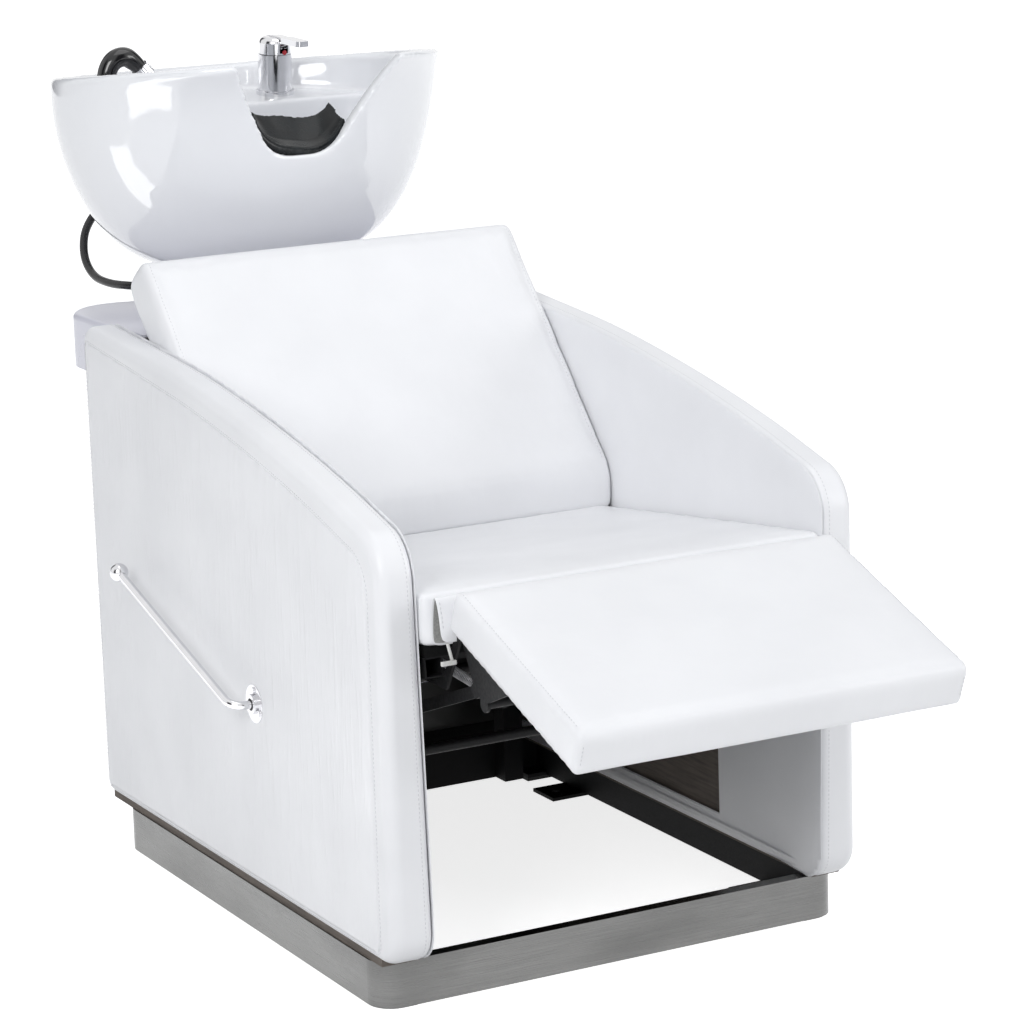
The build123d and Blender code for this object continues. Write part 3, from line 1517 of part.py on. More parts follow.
with BuildPart() as neck_rest:
    with BuildSketch(Plane.XZ.offset(-neck_front_y)):
        add(neck_band(neck_lip))
    with BuildSketch(Plane.XZ.offset(-neck_front_y - neck_length)):
        add(neck_band(neck_rise))
    loft(ruled=True)
save(neck_rest, "neck_rest")


# Mixer: body on the deck, turret that swivels, lever that lifts
with BuildPart() as mixer_body:
    with BuildSketch(mixer_base_plane):
        Circle(mixer_base_radius)
    extrude(amount=mixer_base_height)
    with BuildSketch(mixer_base_plane.offset(mixer_base_height)):
        Circle(mixer_radius)
    extrude(amount=mixer_body_height)
save(mixer_body, "mixer_body")

with BuildPart() as mixer_shank:
    with BuildSketch(mixer_base_plane):
        Circle(mixer_shank_radius)
    extrude(amount=-mixer_shank_length)
    with BuildSketch(mixer_base_plane.offset(-deck_thickness)):
        Circle(mixer_nut_radius)
    extrude(amount=-mixer_nut_height)
save(mixer_shank, "mixer_shank")

with BuildPart() as supply_tails:
    with BuildSketch(mixer_base_plane.offset(-mixer_shank_length)):
        with Locations((-tail_spacing / 2, 0), (tail_spacing / 2, 0)):
            Circle(tail_radius)
    extrude(amount=-tail_length)
save(supply_tails, "supply_tails")

turret_plane = mixer_plane.offset(mixer_base_height + mixer_body_height + body_gap)
handle_plane = turret_plane.offset(handle_pivot_height)
handle_side = Plane(origin=handle_plane.origin, x_dir=-handle_plane.y_dir, z_dir=-handle_plane.x_dir)
with BuildPart() as mixer_turret:
    with BuildSketch(turret_plane):
        Circle(mixer_turret_radius)
    extrude(amount=mixer_turret_height)
    fillet(mixer_turret.faces().sort_by(Axis.Z)[-1].edges(), radius=mixer_dome_radius)
    with BuildSketch(handle_side.offset(-handle_slot / 2 - body_gap)):
        Circle(handle_hub_radius + body_gap)
        Rectangle(mixer_turret_radius + overrun, handle_hub_radius + body_gap,
                  align=(Align.MIN, Align.MIN))
        Rectangle(mixer_turret_radius + overrun, handle_hub_radius + body_gap,
                  align=(Align.MIN, Align.MAX))
        Rectangle(2 * (handle_hub_radius + body_gap), mixer_turret_height,
                  align=(Align.CENTER, Align.MIN))
    extrude(amount=handle_slot + 2 * body_gap, mode=Mode.SUBTRACT)
    with BuildSketch(handle_side.offset(-handle_slot)):
        Circle(handle_pin_radius)
    extrude(amount=2 * handle_slot)
save(mixer_turret, "mixer_turret")

with BuildPart() as mixer_handle:
    with BuildSketch(handle_side.offset(-handle_slot / 2)):
        Circle(handle_hub_radius)
        with Locations((0, handle_hub_radius - handle_thickness)):
            Rectangle(handle_reach, handle_thickness, align=(Align.MIN, Align.MIN))
    extrude(amount=handle_slot)
    paddle_from = mixer_turret_radius + body_gap
    with BuildSketch(handle_plane.offset(handle_hub_radius - handle_thickness)):
        with Locations((0, -(paddle_from + handle_reach) / 2)):
            RectangleRounded(handle_width, handle_reach - paddle_from, handle_width / 3)
    extrude(amount=handle_thickness)
    with BuildSketch(handle_side.offset(-handle_slot)):
        Circle(handle_pin_radius + handle_pin_play)
    extrude(amount=2 * handle_slot, mode=Mode.SUBTRACT)
save(mixer_handle, "mixer_handle")

dot_plane = Plane(
    origin=turret_plane.from_local_coords((0, -mixer_turret_radius, handle_pivot_height / 4)),
    x_dir=turret_plane.x_dir,
    z_dir=-turret_plane.y_dir,
)
with BuildPart() as mixer_dot:
    with BuildSketch(dot_plane):
        Circle(dot_radius)
    extrude(amount=dot_height)
save(mixer_dot, "mixer_dot")


# Hand shower standing in its holder, with the hose below
with BuildPart() as shower_holder:
    with BuildSketch(holder_plane):
        Circle(holder_radius)
    extrude(amount=holder_height)
    with BuildSketch(holder_plane):
        Circle(holder_shank_radius)
    extrude(amount=-holder_shank_length)
    with BuildSketch(holder_plane.offset(-deck_thickness)):
        Circle(holder_nut_radius)
    extrude(amount=-mixer_nut_height)
    with BuildSketch(holder_plane.offset(holder_height)):
        Circle(holder_bore)
    extrude(amount=-holder_height - shower_tail_length, mode=Mode.SUBTRACT)
save(shower_holder, "shower_holder")

shower_plane = holder_plane.offset(holder_height + body_gap)
with BuildPart() as shower_collar:
    with BuildSketch(shower_plane):
        Circle(shower_collar_radius)
    extrude(amount=shower_collar_height)
    with BuildSketch(shower_plane):
        Circle(holder_bore - running_fit)
    extrude(amount=-shower_tail_length)
save(shower_collar, "shower_collar")

arch_plane = Plane(origin=shower_plane.origin, x_dir=shower_plane.x_dir, z_dir=-shower_plane.y_dir)
arch_points = [arch_plane.from_local_coords((x, z, 0)) for x, z in shower_arch]
head_way = (arch_points[-1] - arch_points[-2]).normalized()
with BuildPart() as hand_shower:
    with BuildLine() as arch:
        FilletPolyline(*arch_points, radius=shower_arch_radii)
    with BuildSketch(shower_plane.offset(shower_collar_height)):
        Circle(shower_grip_radius)
    sweep(path=arch.wire())
    head_plane = Plane(origin=arch_points[-1], x_dir=shower_plane.y_dir, z_dir=head_way)
    with BuildSketch(head_plane):
        Circle(shower_grip_radius)
    with BuildSketch(head_plane.offset(shower_head_height)):
        Circle(shower_head_radius)
    loft()
save(hand_shower, "hand_shower")

with BuildPart() as shower_face:
    with BuildSketch(head_plane.offset(shower_head_height)):
        Circle(shower_head_radius - shower_face_height)
    extrude(amount=shower_face_height)
save(shower_face, "shower_face")


# Hose from the holder's shank to the elbow on the cap
def hose_radii(points):
    """Each corner's radius: as large as the shorter of its two runs allows."""
    radii = []
    for before, here, after in zip(points, points[1:], points[2:]):
        first = Vector(*here) - Vector(*before)
        second = Vector(*after) - Vector(*here)
        half_turn = math.radians(first.get_angle(second)) / 2
        radii.append(hose_share * min(first.length, second.length) / math.tan(half_turn))
    return radii


radii = hose_radii(hose_route)
with BuildPart() as shower_hose:
    with BuildLine() as hose_path:
        FilletPolyline(*hose_route, radius=radii)
    with BuildSketch(Plane(origin=hose_path.wire() @ 0, z_dir=hose_path.wire() % 0)):
        Circle(hose_radius)
    sweep(path=hose_path.wire())
save(shower_hose, "shower_hose")
hose_length = hose_path.wire().length
print("hose length", round(hose_length, 1), "radii", [round(radius, 1) for radius in radii])
print("hose volume", round(shower_hose.part.volume), "section times length",
      round(math.pi * hose_radius ** 2 * hose_length))
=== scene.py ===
import math

import bmesh
import bpy
from mathutils import Matrix, Vector, noise
from mathutils.bvhtree import BVHTree


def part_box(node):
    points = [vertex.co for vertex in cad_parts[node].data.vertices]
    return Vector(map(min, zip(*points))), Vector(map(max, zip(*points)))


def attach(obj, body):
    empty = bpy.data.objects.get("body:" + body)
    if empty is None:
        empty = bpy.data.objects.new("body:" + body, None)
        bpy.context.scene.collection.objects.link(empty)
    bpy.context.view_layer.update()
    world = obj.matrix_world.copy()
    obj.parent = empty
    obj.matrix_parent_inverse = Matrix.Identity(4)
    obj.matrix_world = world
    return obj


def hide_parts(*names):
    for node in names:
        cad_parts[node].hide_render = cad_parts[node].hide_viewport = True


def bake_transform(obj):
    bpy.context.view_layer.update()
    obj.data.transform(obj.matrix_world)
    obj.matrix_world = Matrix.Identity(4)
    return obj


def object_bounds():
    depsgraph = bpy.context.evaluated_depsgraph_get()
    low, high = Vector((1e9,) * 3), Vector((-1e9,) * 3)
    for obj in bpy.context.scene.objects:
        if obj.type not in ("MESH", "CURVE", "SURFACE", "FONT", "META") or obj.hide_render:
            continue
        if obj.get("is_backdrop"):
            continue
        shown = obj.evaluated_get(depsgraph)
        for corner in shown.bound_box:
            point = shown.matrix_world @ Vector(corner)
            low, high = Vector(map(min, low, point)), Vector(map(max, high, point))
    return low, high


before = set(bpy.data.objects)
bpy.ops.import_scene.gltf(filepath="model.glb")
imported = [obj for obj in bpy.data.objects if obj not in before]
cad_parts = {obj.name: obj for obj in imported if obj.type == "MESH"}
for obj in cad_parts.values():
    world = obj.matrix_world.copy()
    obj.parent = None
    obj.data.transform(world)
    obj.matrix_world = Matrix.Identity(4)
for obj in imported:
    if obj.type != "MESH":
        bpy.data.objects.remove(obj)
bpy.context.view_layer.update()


# Camera: the photographer stands well back on the left of the front,
# a little above the basin, with a long lens.
camera = bpy.data.objects.new("camera", bpy.data.cameras.new("camera"))
camera.data.lens = 129.2
camera.data.sensor_width = 36.0
camera.data.clip_end = 60.0
camera.matrix_world = (
    Matrix.Translation((-2.16608, -4.22329, 1.57538))
    @ Matrix.Rotation(math.radians(-28.04), 4, "Z")
    @ Matrix.Rotation(math.radians(77.30), 4, "X")
    @ Matrix.Rotation(math.radians(-1.81), 4, "Z")
)
bpy.context.collection.objects.link(camera)
bpy.context.scene.camera = camera


# Shower hose: a 12 mm hose with a smooth gloss black skin. It hangs from the holder's
# shank behind the bowl, swings out to the left and comes in to the elbow on the cap.
hose_route = [
    (-0.097, 0.7484, 0.9507), (-0.097, 0.7513, 0.9148), (-0.114, 0.760, 0.884),
    (-0.156, 0.770, 0.862), (-0.198, 0.768, 0.824), (-0.212, 0.750, 0.784),
    (-0.212, 0.716, 0.756), (-0.206, 0.668, 0.7505), (-0.190, 0.634, 0.7502),
    (-0.164, 0.614, 0.749), (-0.136, 0.610, 0.748),
]
hose_line = bpy.data.curves.new("hose_line", "CURVE")
hose_line.dimensions = "3D"
hose_line.resolution_u = 14
spline = hose_line.splines.new("NURBS")
spline.points.add(len(hose_route) - 1)
for control, place in zip(spline.points, hose_route):
    control.co = (*place, 1)
spline.order_u = 3
spline.use_endpoint_u = True
hose_guide = bpy.data.objects.new("hose_guide", hose_line)
bpy.context.collection.objects.link(hose_guide)
bpy.context.view_layer.update()
hose_path = [vertex.co.copy() for vertex in bpy.data.meshes.new_from_object(hose_guide).vertices]
hose_line.bevel_depth = 0.006
hose_line.bevel_resolution = 5
hose_line.use_fill_caps = True
bpy.context.view_layer.update()
shower_hose = bpy.data.objects.new("hose_tube", bpy.data.meshes.new_from_object(hose_guide))
bpy.context.collection.objects.link(shower_hose)
bpy.data.objects.remove(hose_guide)
for face in shower_hose.data.polygons:
    face.use_smooth = True


def finish(name, colour, roughness, metallic=0.0, **own):
    """A new finish, with what is the same all over set on the shader's own sockets."""
    material = bpy.data.materials.new(name)
    material.use_nodes = True
    shader = material.node_tree.nodes["Principled BSDF"]
    shader.inputs["Base Color"].default_value = (*colour, 1)
    shader.inputs["Roughness"].default_value = roughness
    shader.inputs["Metallic"].default_value = metallic
    for socket, value in own.items():
        shader.inputs[socket.replace("_", " ")].default_value = value
    return material


def add_node(tree, kind, inputs=None, operation=None):
    """A new shader node; each of its inputs takes a value or another node's output."""
    node = tree.nodes.new("ShaderNode" + kind)
    if operation:
        node.operation = operation
    if kind == "Mix":
        node.data_type = "RGBA"
    for name, value in (inputs or {}).items():
        if isinstance(value, bpy.types.NodeSocket):
            tree.links.new(value, node.inputs[name])
        else:
            node.inputs[name].default_value = value
    return node


def uneven(material, pattern, scale, stretch=(1, 1, 1), tint=None, gloss=None, relief=0.0,
           depth=0.001, limits=(0.3, 0.7), detail=3.0):
    """Lays one pattern over a finish: a second colour, a range of roughness, or relief."""
    tree = material.node_tree
    shader = tree.nodes["Principled BSDF"]
    place = add_node(tree, "TexCoord").outputs["Object"]
    mapping = add_node(tree, "Mapping", {"Vector": place, "Scale": stretch})
    texture = add_node(tree, "Tex" + pattern, {"Vector": mapping.outputs["Vector"], "Scale": scale})
    if "Detail" in texture.inputs:
        texture.inputs["Detail"].default_value = detail
    amount = add_node(tree, "MapRange", {"Value": texture.outputs[0], "From Min": limits[0],
                                         "From Max": limits[1]}).outputs["Result"]
    if tint:
        base = shader.inputs["Base Color"]
        first = base.links[0].from_socket if base.is_linked else tuple(base.default_value)
        both = add_node(tree, "Mix", {0: amount, 6: first, 7: (*tint, 1)})
        tree.links.new(both.outputs[2], base)
    if gloss:
        rough = add_node(tree, "MapRange", {"Value": amount, "To Min": gloss[0], "To Max": gloss[1]})
        tree.links.new(rough.outputs["Result"], shader.inputs["Roughness"])
    if relief:
        bump = add_node(tree, "Bump", {"Strength": relief, "Distance": depth, "Height": amount})
        normal = shader.inputs["Normal"]
        if normal.is_linked:
            tree.links.new(normal.links[0].from_socket, bump.inputs["Normal"])
        tree.links.new(bump.outputs["Normal"], normal)
    return material


hose_black = finish("hose_black", (0.012, 0.012, 0.013), 0.18)
uneven(hose_black, "Noise", 60, tint=(0.022, 0.022, 0.024), gloss=(0.14, 0.3), relief=0.15)
shower_hose.data.materials.append(hose_black)
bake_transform(shower_hose)
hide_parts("shower_hose")


# Studio: a plain white floor that runs out of the picture and keeps the unit's shadow,
# under soft boxes on the left, above and on the right. What mirrors the room sees dark
# cards standing round it, and the glazed bowl sees a bright window low on the left.
floor_size, floor_lift = 15.0, 0.80
window_corners = [(-1.954, 0.724, 0.02), (-0.741, 0.329, 0.02), (-0.810, 0.076, 0.02),
                  (-1.583, 0.261, 0.02)]
card_count, card_turn = 4.0, 0.9
floor_mesh = bpy.data.meshes.new("floor")
work = bmesh.new()
bmesh.ops.create_grid(work, x_segments=4, y_segments=4, size=floor_size)
work.to_mesh(floor_mesh)
work.free()
floor = bpy.data.objects.new("floor", floor_mesh)
bpy.context.collection.objects.link(floor)
floor_white = bpy.data.materials.new("floor_white")
floor_white.use_nodes = True
tree = floor_white.node_tree
tree.nodes.clear()
rays = add_node(tree, "LightPath").outputs
seen = add_node(tree, "Math", {0: rays["Is Camera Ray"], 1: rays["Is Glossy Ray"]}, "MAXIMUM")
level = add_node(tree, "Math", {0: seen.outputs[0], 1: floor_lift}, "MULTIPLY")
paper = add_node(tree, "BsdfDiffuse", {"Color": (0.8, 0.8, 0.8, 1)})
lift = add_node(tree, "Emission", {"Strength": level.outputs[0]})
total = add_node(tree, "AddShader", {0: paper.outputs[0], 1: lift.outputs[0]})
add_node(tree, "OutputMaterial", {"Surface": total.outputs[0]})
floor.data.materials.append(floor_white)
floor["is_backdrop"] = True

window_mesh = bpy.data.meshes.new("window")
window_mesh.from_pydata(window_corners, [], [(3, 2, 1, 0)])
window = bpy.data.objects.new("window", window_mesh)
bpy.context.collection.objects.link(window)
pane = bpy.data.materials.new("pane")
pane.use_nodes = True
tree = pane.node_tree
tree.nodes.clear()
glow = add_node(tree, "Emission", {"Strength": 4.5})
add_node(tree, "OutputMaterial", {"Surface": glow.outputs[0]})
window_mesh.materials.append(pane)
window.visible_camera = False
window.visible_diffuse = False
window.visible_shadow = False
window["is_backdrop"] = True

world = bpy.data.worlds.new("studio")
bpy.context.scene.world = world
world.use_nodes = True
tree = world.node_tree
tree.nodes.clear()
rays = add_node(tree, "LightPath").outputs
seen = add_node(tree, "Math", {0: rays["Is Camera Ray"], 1: rays["Is Glossy Ray"]}, "MAXIMUM")
room = add_node(tree, "Background", {"Color": (0.95, 0.97, 1.0, 1), "Strength": 0.50})
parts = add_node(tree, "SeparateXYZ", {0: add_node(tree, "TexCoord").outputs["Generated"]}).outputs
around = add_node(tree, "Math", {0: parts["Y"], 1: parts["X"]}, "ARCTAN2")
turns = add_node(tree, "Math", {0: around.outputs[0], 1: card_count, 2: card_turn}, "MULTIPLY_ADD")
wave = add_node(tree, "Math", {0: turns.outputs[0]}, "SINE")
card = add_node(tree, "MapRange", {"Value": wave.outputs[0], "From Min": 0.25, "From Max": 0.85})
low = add_node(tree, "MapRange", {"Value": parts["Z"], "From Min": 0.75, "From Max": 0.55})
dark = add_node(tree, "Math", {0: card.outputs[0], 1: low.outputs[0]}, "MULTIPLY")
mirrored = add_node(tree, "Math", {0: dark.outputs[0], 1: rays["Is Glossy Ray"]}, "MULTIPLY")
shade = add_node(tree, "Mix", {0: mirrored.outputs[0], 6: (1, 1, 1, 1), 7: (0.05, 0.05, 0.055, 1)})
white = add_node(tree, "Background", {"Color": shade.outputs[2], "Strength": 1.0})
both = add_node(tree, "MixShader", {0: seen.outputs[0], 1: room.outputs[0], 2: white.outputs[0]})
add_node(tree, "OutputWorld", {"Surface": both.outputs[0]})
bpy.context.scene.view_settings.view_transform = "Standard"

for name, place, aim, width, height, power in (
    ("box_left", (-2.8, -2.4, 2.3), (0.0, 0.1, 0.6), 1.5, 1.9, 64),
    ("box_top", (0.4, -0.2, 3.6), (0.0, 0.1, 0.5), 2.4, 2.4, 22),
    ("box_right", (2.9, -2.8, 1.5), (0.1, 0.0, 0.5), 1.8, 1.8, 42),
):
    lamp = bpy.data.lights.new(name, "AREA")
    lamp.shape = "RECTANGLE"
    lamp.size = width
    lamp.size_y = height
    lamp.energy = power
    box = bpy.data.objects.new(name, lamp)
    box.location = place
    box.rotation_euler = (Vector(aim) - Vector(place)).to_track_quat("-Z", "Y").to_euler()
    bpy.context.collection.objects.link(box)


# Plinth: four brushed stainless fascias between rounded corner trims, all brushed along
# their length, on a black ring frame with rubber pads.
stainless = finish("stainless", (0.17, 0.17, 0.168), 0.30, 1.0)
uneven(stainless, "Noise", 1.0, stretch=(14, 14, 2600), tint=(0.235, 0.235, 0.23), gloss=(0.22, 0.36),
       relief=0.10, depth=0.0002, limits=(0.3, 0.7), detail=2.0)
uneven(stainless, "Noise", 4.0, stretch=(1, 1, 3), tint=(0.135, 0.135, 0.133), limits=(0.4, 0.75))


def paint(material, *names):
    """Gives CAD nodes a finish."""
    for name in names:
        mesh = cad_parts[name].data
        for index in range(len(mesh.materials)):
            mesh.materials[index] = material
        if not mesh.materials:
            mesh.materials.append(material)


paint(stainless, "plinth_front", "plinth_rear", "plinth_sides", "plinth_corners")
frame_black = finish("frame_black", (0.004, 0.004, 0.0045), 0.6, Specular_IOR_Level=0.12)
uneven(frame_black, "Noise", 700, tint=(0.008, 0.008, 0.009), gloss=(0.5, 0.7), relief=0.2, depth=0.0003)
paint(frame_black, "base_frame")
pad_rubber = finish("pad_rubber", (0.018, 0.018, 0.018), 0.8)
uneven(pad_rubber, "Noise", 400, tint=(0.03, 0.03, 0.03), relief=0.3, depth=0.0004)
paint(pad_rubber, "foot_pads", "seat_spacers")


# Side panels: each is two padded leather faces and a band round the edge, sewn
# together and pulled over a plywood core. The band turns well over the top and the
# front of the outer face, and a window in the inner face leaves the plywood bare.
panel_corners = [  # y, z, radius
    (0.460, 0.064, 0.018), (0.460, 0.733, 0.018), (-0.070, 0.692, 2.900),
    (-0.445, 0.592, 0.060), (-0.445, 0.064, 0.040),
]
panel_inner, panel_outer = 0.287, 0.335
seam_corners = [  # of the outer face's seam, as above
    (0.448, 0.078, 0.008), (0.448, 0.712, 0.008), (-0.070, 0.656, 2.900),
    (-0.411, 0.565, 0.052), (-0.411, 0.078, 0.012),
]
seam_inset = 0.0142
bare_window = (-0.185, 0.400, 0.090, 0.430)  # y from and to, z from and to
inner_round, outer_round = 0.010, 0.0165
hide = 0.0006  # how thick the faces' leather is
pack_depth, pack_y, pack_z = 0.0085, -0.33, 0.56  # leather packed low on the front edge
pack_fade = Vector((0.04, 0.10, 0.42))  # the lengths it fades over


def soften(work, geom, offset, segments, affect="EDGES"):
    """Rounds edges or corners off."""
    bmesh.ops.bevel(work, geom=geom, offset=offset, offset_type="OFFSET", affect=affect,
                    segments=segments, profile=0.5, material=-1, clamp_overlap=True)


def slab(work, size, place):
    """A block of the given size whose middle lies at a place."""
    bmesh.ops.create_cube(work, size=1.0, matrix=place @ Matrix.Diagonal((*size, 1)))


def rounded_face(work, corners, x=0.0):
    """A face in the (y, z) plane whose corners are rounded to their radii."""
    ring = [work.verts.new((x, y, z)) for y, z, _ in corners]
    face = work.faces.new(ring)
    count = len(ring)
    places = [vertex.co.copy() for vertex in ring]
    for index, (_, _, radius) in enumerate(corners):
        into = (places[index] - places[index - 1]).normalized()
        away = (places[(index + 1) % count] - places[index]).normalized()
        reach = radius * math.tan(into.angle(away) / 2)
        soften(work, [ring[index]], reach, 14 if radius > 1 else 9, "VERTICES")
    return max(work.faces, key=lambda f: f.calc_area())


def new_piece(name, work, material, smooth=True, sharp=35.0):
    """Turns modelled work into a piece at the origin with its finish."""
    bmesh.ops.recalc_face_normals(work, faces=work.faces)
    mesh = bpy.data.meshes.new(name)
    work.to_mesh(mesh)
    work.free()
    if smooth:
        mesh.shade_smooth()
        mesh.set_sharp_from_angle(angle=math.radians(sharp))
    mesh.materials.append(material)
    piece = bpy.data.objects.new(name, mesh)
    bpy.context.collection.objects.link(piece)
    return piece


leather = finish("white_leather", (0.86, 0.865, 0.885), 0.40, Specular_IOR_Level=0.45, Coat_Weight=0.05)
uneven(leather, "Noise", 7, tint=(0.82, 0.825, 0.845), gloss=(0.34, 0.47))
uneven(leather, "Voronoi", 620, relief=0.10, depth=0.0004, limits=(0.0, 0.8))
uneven(leather, "Noise", 1.0, stretch=(40, 40, 5), relief=0.16, depth=0.0022, detail=2.0)
side_leather = leather.copy()
side_leather.name = "side_leather"
uneven(side_leather, "Noise", 1.0, stretch=(10, 130, 13), relief=0.25, depth=0.0022, detail=1.0,
       limits=(0.45, 0.75))

outline = bmesh.new()
face = rounded_face(outline, panel_corners)
outer_ring = [vertex.co.copy() for vertex in face.verts]
bmesh.ops.inset_region(outline, faces=[face], thickness=seam_inset, use_even_offset=True)
inner_seam = [vertex.co.copy() for vertex in face.verts]
outline.free()
outline = bmesh.new()
face = rounded_face(outline, seam_corners)
outer_seam = [vertex.co.copy() for vertex in face.verts]
outline.free()


def bulge(co):
    """How far the leather packs out inwards, low on the front edge."""
    near = min(1, max(0, (pack_y - co.y) / pack_fade.y)) * min(1, max(0, (pack_z - co.z) / pack_fade.z))
    return -pack_depth * near * min(1, max(0, (panel_outer - co.x) / pack_fade.x))


def flat_side(work, x):
    """The largest face that lies at x."""
    faces = [face for face in work.faces if abs(face.calc_center_median().x - x) < 1e-5]
    return max(faces, key=lambda f: f.calc_area())


def panel_band():
    """The band: a slab with a wide round on its outer edge and a small one inside."""
    work = bmesh.new()
    face = rounded_face(work, panel_corners, panel_inner)
    made = bmesh.ops.extrude_face_region(work, geom=[face], use_keep_orig=True)
    moved = [g for g in made["geom"] if isinstance(g, bmesh.types.BMVert)]
    bmesh.ops.translate(work, verts=moved, vec=(panel_outer - panel_inner, 0, 0))
    for place, offset in ((panel_inner, inner_round), (panel_outer, outer_round)):
        soften(work, flat_side(work, place).edges[:], offset, 7)
    lap = seam_inset - inner_round + hide  # inside, the band ends just past the seam
    bmesh.ops.inset_individual(work, faces=[flat_side(work, panel_inner)], thickness=lap, depth=0.0)
    bmesh.ops.delete(work, geom=[flat_side(work, panel_inner)], context="FACES_ONLY")
    for vertex in work.verts:
        vertex.co.x += bulge(vertex.co)
    return work


def panel_face(x, outward, seam_ring, window=None):
    """One padded face: a fine sheet cut to its seam, which lies on the band and swells inside."""
    work = bmesh.new()
    bmesh.ops.create_grid(work, x_segments=150, y_segments=118, size=0.5,
                          matrix=Matrix.Translation((x, 0.0075, 0.3985))
                          @ Matrix.Rotation(math.pi / 2, 4, "Y") @ Matrix.Diagonal((0.72, 0.95, 1, 1)))
    centre = Vector((x, 0.0, 0.35))
    sides = []
    for a, b in zip(seam_ring, seam_ring[1:] + seam_ring[:1]):
        way = Vector((0, b.z - a.z, a.y - b.y)).normalized()
        start = Vector((x, a.y, a.z))
        if way.dot(centre - start) < 0:
            way = -way
        bmesh.ops.bisect_plane(work, geom=work.verts[:] + work.edges[:] + work.faces[:], dist=1e-6,
                               plane_co=start, plane_no=-way, clear_outer=True)
        sides.append((way.y, way.z, way.y * a.y + way.z * a.z))
    swell, run = (0.0030, 0.016) if outward > 0 else (0.0016, 0.007)
    if window:
        y0, y1, z0, z1 = window
        for point, way in (((x, y0, 0), (0, 1, 0)), ((x, y1, 0), (0, 1, 0)),
                           ((x, 0, z0), (0, 0, 1)), ((x, 0, z1), (0, 0, 1))):
            bmesh.ops.bisect_plane(work, geom=work.verts[:] + work.edges[:] + work.faces[:], dist=1e-6,
                                   plane_co=point, plane_no=way)
        bare = [f for f in work.faces
                if y0 < f.calc_center_median().y < y1 and z0 < f.calc_center_median().z < z1]
        bmesh.ops.delete(work, geom=bare, context="FACES")
    for vertex in work.verts:
        y, z = vertex.co.y, vertex.co.z
        near = min(wy * y + wz * z - c for wy, wz, c in sides)
        proud = swell * (1 - math.exp(-max(near, 0) / run)) + 0.0002
        ripple = noise.noise(Vector((y * 9, z * 4, outward * 3 + x))) * 0.0005
        fade = min(1, near / 0.03)
        vertex.co.x += outward * (proud + ripple * fade) + bulge(vertex.co)
    for face in work.faces:
        if face.normal.x * outward < 0:
            face.normal_flip()
    return work


def stitch(name, rows, material, pitch=0.0056, length=0.0036, width=0.0010):
    """Thread: a short raised stitch at every step of each row of (point, outward)."""
    single = bmesh.new()
    bmesh.ops.create_uvsphere(single, u_segments=6, v_segments=4, radius=0.5,
                              matrix=Matrix.Diagonal((width, width * 0.8, length, 1)))
    shape = [vertex.co.copy() for vertex in single.verts]
    sides = [[vertex.index for vertex in face.verts] for face in single.faces]
    single.free()
    points, faces = [], []
    for row in rows:
        ahead = pitch / 2
        for (a, up), (b, _) in zip(row, row[1:]):
            run = b - a
            while ahead < run.length:
                way = run.normalized()
                side = up.cross(way).normalized()
                turn = Matrix((side, up.normalized(), way)).transposed()
                faces += [[index + len(points) for index in face] for face in sides]
                points += [a + way * ahead + turn @ place for place in shape]
                ahead += pitch
            ahead -= run.length
    mesh = bpy.data.meshes.new(name)
    mesh.from_pydata(points, [], faces)
    mesh.shade_smooth()
    mesh.materials.append(material)
    piece = bpy.data.objects.new(name, mesh)
    bpy.context.collection.objects.link(piece)
    return piece


# Stitch thread: a white-grey thread whose colour is darkened further by painted shade, which stands in for
# the shade in the needle holes along each seam.
thread_and_hole_shade = finish("thread_and_hole_shade", (0.60, 0.60, 0.63), 0.6)
uneven(thread_and_hole_shade, "Noise", 1500, tint=(0.72, 0.72, 0.74), relief=0.2, depth=0.0002)

for side in ("left", "right"):
    sign = -1 if side == "left" else 1
    band = panel_band()
    outer = panel_face(panel_outer, 1, outer_seam)
    inner = panel_face(panel_inner, -1, inner_seam, bare_window)
    pieces = []
    for name, work in (("band", band), ("outer", outer), ("inner", inner)):
        if sign < 0:
            bmesh.ops.scale(work, vec=(-1, 1, 1), verts=work.verts)
        if name == "band":
            piece = new_piece(f"{side}_panel_{name}", work, leather)
            piece.modifiers.new("even", "WEIGHTED_NORMAL").keep_sharp = True
        else:
            mesh_side = 1 if name == "outer" else -1
            for face in work.faces:
                if face.normal.x * mesh_side * sign < 0:
                    face.normal_flip()
            mesh = bpy.data.meshes.new(f"{side}_panel_{name}")
            work.normal_update()
            work.to_mesh(mesh)
            work.free()
            mesh.shade_smooth()
            mesh.materials.append(side_leather if name == "outer" else leather)
            piece = bpy.data.objects.new(f"{side}_panel_{name}", mesh)
            bpy.context.collection.objects.link(piece)
            thick = piece.modifiers.new("hide", "SOLIDIFY")
            thick.thickness = hide
            thick.offset = -1
        pieces.append(piece)
    rows = []
    for ring, x, on_face in ((outer_seam, panel_outer + 0.0002, True),
                             (outer_ring, panel_inner + inner_round + 0.0005, False)):
        row = []
        for back, here, ahead in zip(ring[-1:] + ring[:-1], ring, ring[1:] + ring[:1]):
            way = (ahead - back).normalized()
            out = Vector((0, way.z, -way.y))
            if out.dot(here - Vector((0, 0, 0.36))) < 0:
                out = -out
            point = here + out * (0.0024 if on_face else 0.0001)
            point.x = x
            point.x = sign * (x + bulge(point))
            row.append((point, Vector((sign, 0, 0)) if on_face else out))
        rows.append(row + row[:1])
    pieces.append(stitch(f"{side}_panel_stitches", rows, thread_and_hole_shade))
    for piece in pieces:
        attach(piece, "root")
    for piece in pieces[:3]:
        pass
    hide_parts(f"{side}_panel_cover")

